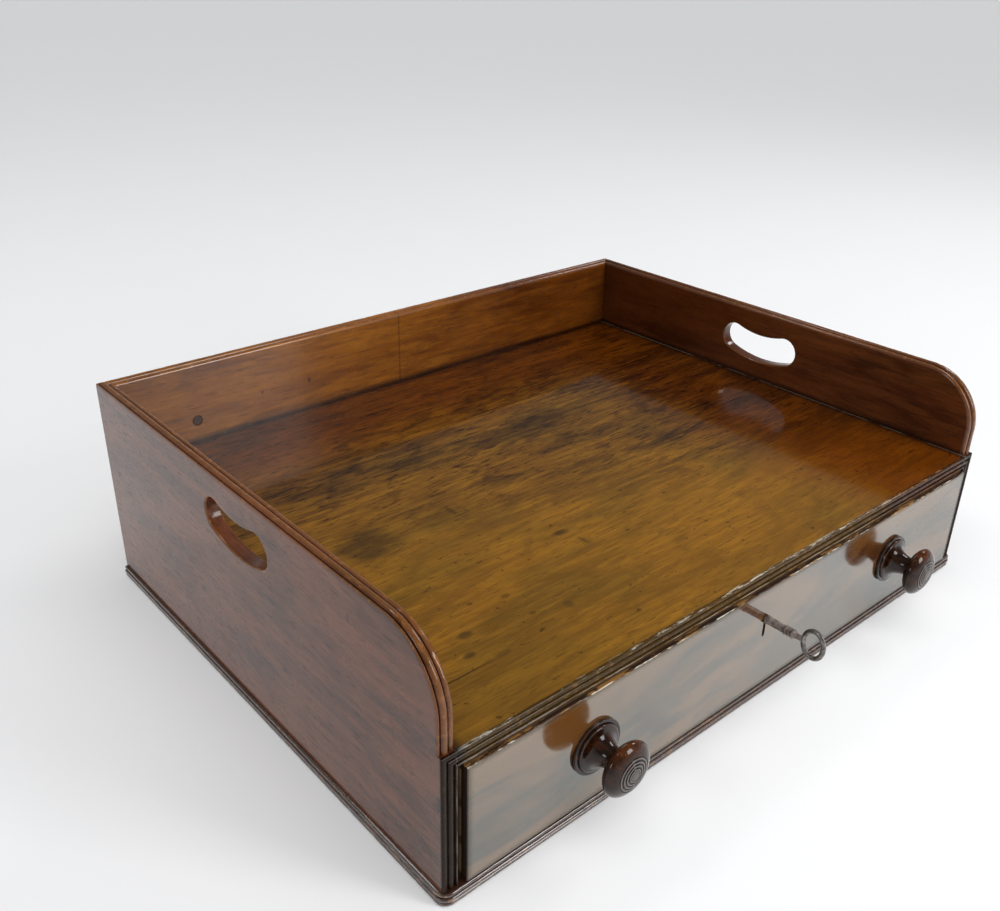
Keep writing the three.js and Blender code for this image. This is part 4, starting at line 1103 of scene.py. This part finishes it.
def knob_profile():
    """Tenon, stepped flange, hollow neck and a bun head with rings cut in its face, in mm."""
    tenon, tenon_length, flange, step, step_height = 6, 18, 17.4, 13.6, 3.9
    head_radius, head_half, projection, neck = 16.8, 7.0, 29.5, 6.4
    # The tones below give the knob's finish its painted highlight (above 0) and painted shade (below 0)
    foot = rounded([(0, -tenon_length, 0), (tenon, -tenon_length, 0), (tenon, 0, 0), (16.6, 0, 0),
                    (flange, 0.8, 1), (flange, 2.2, 1), (15.4, 2.3, 0), (15.0, 2.0, 0), (14.8, 3.4, 1),
                    (step, step_height, 0)], 0.7, 0.12)
    middle = projection - head_half
    neck_angle = -math.acos(neck / head_radius)
    neck_height = middle + head_half * math.sin(neck_angle)
    hollow = []
    for i in range(1, 17):
        angle = i / 16 * math.pi / 2
        hollow.append((step + (neck - step) * math.sin(angle),
                       step_height + (neck_height - step_height) * (1 - math.cos(angle)), 0.0))
    ring_start = 11.0
    face_angle = math.acos(ring_start / head_radius)
    head = []
    for i in range(1, 41):
        angle = neck_angle + (face_angle - neck_angle) * i / 40
        head.append((head_radius * math.cos(angle), middle + head_half * math.sin(angle), 0.0))
    face = []
    spacing, depth, ring_count, steps = 1.95, 0.5, 4, 12
    for i in range(1, ring_count * steps + 1):
        radius = ring_start - spacing * i / steps
        share = (i / steps) % 1.0
        cut = math.exp(-((share - 0.3) / 0.14) ** 2)
        ridge = math.exp(-((share - 0.68) / 0.13) ** 2)
        height = middle + head_half * math.sqrt(1 - (radius / head_radius) ** 2)
        face.append((radius, height - depth * cut, 0.8 * ridge - cut))
    button, button_rise = ring_start - spacing * ring_count, 0.35
    for i in range(1, 9):
        angle = i / 8 * math.pi / 2
        face.append((button * math.cos(angle),
                     projection - button_rise + button_rise * math.sin(angle), 0.3))
    return [(max(r, 0.0) * MM, h * MM, tone) for r, h, tone in [*foot, *hollow, *head, *face]]


def make_knob(name, finish):
    low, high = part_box(name)
    place = Vector(((low.x + high.x) / 2, front_low.y, (low.z + high.z) / 2))
    shells = Shells()
    shells.add_mesh(turned(knob_profile(), place, finish))
    shells.piece(name + "_piece", finish, "drawer", name, crease=50)


def make_key(finish):
    """A pipe key: shank with a turned collar, oval bow and a bit with a ward cut."""
    shells = Shells()
    tip = key_high.y
    inside = (tip - front_low.y) / MM
    bow_at = (front_low.y - bow_start) / MM
    bore, bore_depth, pipe, shoulder = 1.3, 10, 2.2, 2.9
    collar_radius, bead, collar_start, collar_length = 2.4, 0.6, 14, 7.5
    collar = []
    for i in range(25):
        share = i / 24
        swell = abs(math.sin(share * 3 * math.pi)) ** 0.7
        collar.append((collar_radius + bead * swell, inside + collar_start + collar_length * share, 0.0))
    profile = [
        (0, bore_depth, 0.0), (bore, bore_depth, 0.0), (bore, 0, 0.0), (2.0, 0, 0.0), (pipe, 0.3, 0.0),
        (pipe, inside + 0.5, 0.0), (shoulder, inside + 0.8, 0.0), (shoulder, inside + 2.0, 0.0),
        (2.6, inside + 2.3, 0.0), (2.55, inside + 13.6, 0.0), *collar,
        (2.0, inside + 22.2, 0.0), (1.7, inside + 23.4, 0.0), (1.6, inside + bow_at + 0.9, 0.0),
        (0, inside + bow_at + 0.9, 0.0),
    ]
    place = Vector((0, tip, key_height))
    shells.add_mesh(turned([(r * MM, h * MM, tone) for r, h, tone in profile], place, finish, 40))
    wire = 1.6 * MM
    half_y = (bow_start - key_low.y) / 2
    half_z = key_high.z - key_height
    middle = Vector((0, key_low.y + half_y, key_height))
    stations = []
    steps = 72
    for i in range(steps + 1):
        angle = i / steps * 2 * math.pi
        out = Vector((0, math.cos(angle) / half_y, math.sin(angle) / half_z)).normalized()
        at = middle + Vector((0, math.cos(angle) * (half_y - wire), math.sin(angle) * (half_z - wire)))
        stations.append((at, X, out))
    ring = [(wire * 0.9 * math.sin(t), wire * math.cos(t), 0.0)
            for t in (i / 20 * 2 * math.pi for i in range(21))]
    shells.add_mesh(carried(ring, stations, finish, wear=0.0))
    bit_low = key_low.z
    width, thick, ward_depth, ward_width = 5.2 * MM, 1.8 * MM, 3.2 * MM, 1 * MM
    ward_near = tip - (width - ward_width) / 2
    ward_far = ward_near - ward_width
    outline = [(tip, key_height), (tip, bit_low), (ward_near, bit_low),
               (ward_near, bit_low + ward_depth), (ward_far, bit_low + ward_depth), (ward_far, bit_low),
               (tip - width, bit_low), (tip - width, key_height)]
    slab(shells, outline, lambda y, z, depth: Vector((depth - thick / 2, y, z)), (), thick)
    shells.piece("key_piece", finish, "key", "key", crease=50)


def refinish(finish, *names):
    """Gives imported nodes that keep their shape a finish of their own."""
    for name in names:
        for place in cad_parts[name].material_slots:
            place.material = finish


make_side("left_side", -1, left_finish())
make_side("right_side", 1, right_finish())
make_back(back_finish())
make_tray(tray_finish())
make_base(base_finish())
make_drawer_front(front_finish())
knob_wood = knob_finish()
make_knob("knob_left", knob_wood)
make_knob("knob_right", knob_wood)
make_key(key_finish())

refinish(lining_finish(), "drawer_side_left", "drawer_side_right", "drawer_back", "drawer_bottom",
         "drawer_stop_left", "drawer_stop_right")
refinish(plug_finish(), "back_plug")
iron = metal_finish("old_iron", (0.1, 0.09, 0.085), (0.24, 0.22, 0.2), (0.1, 0.045, 0.02), 0.45, 0.7)
brass = metal_finish("old_brass", (0.42, 0.28, 0.1), (0.62, 0.44, 0.18), (0.14, 0.085, 0.03), 0.32, 0.6)
steel = metal_finish("spring_steel", (0.2, 0.2, 0.21), (0.42, 0.42, 0.42), (0.12, 0.08, 0.05), 0.3, 0.4)
refinish(brass, "lock_plate", "lock_bolt")
refinish(steel, "lock_spring")
refinish(iron, "lock_case", "drill_pin", *[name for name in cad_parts
                                           if name.startswith(("base_screw", "bottom_nail", "lock_screw"))])


# Floor, light and camera

def make_floor(half=20.0):
    mesh = bpy.data.meshes.new("floor")
    corners = [(-half, -half, 0), (half, -half, 0), (half, half, 0), (-half, half, 0)]
    mesh.from_pydata(corners, [], [(0, 1, 2, 3)])
    floor = add_object("floor", mesh)
    paper = Finish("pale_floor")
    mottle = paper.noise((7, 7, 7), 1.0, 4.0)
    paper.colour = paper.mix((0.80, 0.808, 0.82), (0.815, 0.823, 0.835), mottle)
    seen = paper.node("ShaderNodeLightPath", {}, {}, "Is Camera Ray")
    seen = seen + paper.output(seen, "Is Glossy Ray") + paper.output(seen, "Is Transmission Ray")
    glow = paper.mix((0, 0, 0), (1, 1, 1), seen)
    mesh.materials.append(paper.close(0.7 + mottle * 0.1, mottle, 0.01 * MM, Emission_Color=glow,
                                      Emission_Strength=0.07, Specular_IOR_Level=0.2))


def add_lamp(name, lamp, direction, distance=0.0):
    """Hangs a lamp so that it faces the middle of the case."""
    holder = add_object(name, lamp)
    aim = Vector(direction).normalized()
    holder.location = Vector((0, 0, 80 * MM)) + aim * distance
    holder.rotation_euler = aim.to_track_quat("Z", "Y").to_euler()
    return holder


def softbox(name, direction, distance, width, height, power):
    """A rectangular lamp."""
    lamp = bpy.data.lights.new(name, "AREA")
    lamp.shape = "RECTANGLE"
    lamp.size = width
    lamp.size_y = height
    lamp.energy = power
    add_lamp(name, lamp, direction, distance)


def soft_sky(name, direction, level, spread):
    """An even light from a wide patch of sky, for matt colour alone."""
    lamp = bpy.data.lights.new(name, "SUN")
    lamp.energy = level * math.pi
    lamp.angle = math.radians(spread)
    add_lamp(name, lamp, direction).visible_glossy = False


def make_world(low=0.7, high=0.18):
    """Pale light all round, bright low down and dimmer overhead."""
    world = bpy.data.worlds.new("surroundings")
    world.use_nodes = True
    world.node_tree.nodes.clear()
    tree = Tree(world.node_tree)
    way = tree.node("ShaderNodeTexCoord", {}, {}, "Generated")
    rise = tree.output(tree.node("ShaderNodeSeparateXYZ", {}, {"Vector": way}), "Z")
    strength = tree.smooth(rise, 0.4, 0.05) * (low - high) + high
    light = tree.node("ShaderNodeBackground", {}, {"Color": (1, 1, 1, 1), "Strength": strength})
    tree.node("ShaderNodeOutputWorld", {}, {"Surface": light})
    bpy.context.scene.world = world


def make_camera():
    """The camera at the photograph's viewing angle."""
    yaw, pitch, roll = math.radians(41.18), math.radians(27.04), math.radians(1.12)
    ahead = Vector((math.sin(yaw) * math.cos(pitch), math.cos(yaw) * math.cos(pitch), -math.sin(pitch)))
    level = Vector((math.cos(yaw), -math.sin(yaw), 0))
    upright = level.cross(ahead)
    right = level * math.cos(roll) + upright * math.sin(roll)
    up = upright * math.cos(roll) - level * math.sin(roll)
    lens = bpy.data.cameras.new("camera")
    lens.sensor_fit = "HORIZONTAL"
    lens.sensor_width = 36
    lens.lens = 36.98
    holder = add_object("camera", lens)
    place = Matrix.Translation((-0.4667, -0.4771, 0.4373))
    holder.matrix_world = place @ Matrix((right, up, -ahead)).transposed().to_4x4()
    bpy.context.scene.camera = holder


make_floor()
softbox("window", (0.31, -0.83, 0.47), 1.6, 0.45, 0.75, 10.5)
softbox("ceiling_back", (-0.30, 0.46, 0.78), 2.0, 0.3, 0.3, 3.5)
softbox("left", (-0.92, -0.05, 0.42), 2.0, 0.5, 0.5, 4)
softbox("ceiling_right", (0.77, -0.08, 0.63), 2.0, 0.5, 0.4, 6)
soft_sky("fill", (-0.1, -0.3, 0.94), 0.53, 70)
make_world()
make_camera()
bpy.context.scene.view_settings.view_transform = "Standard"
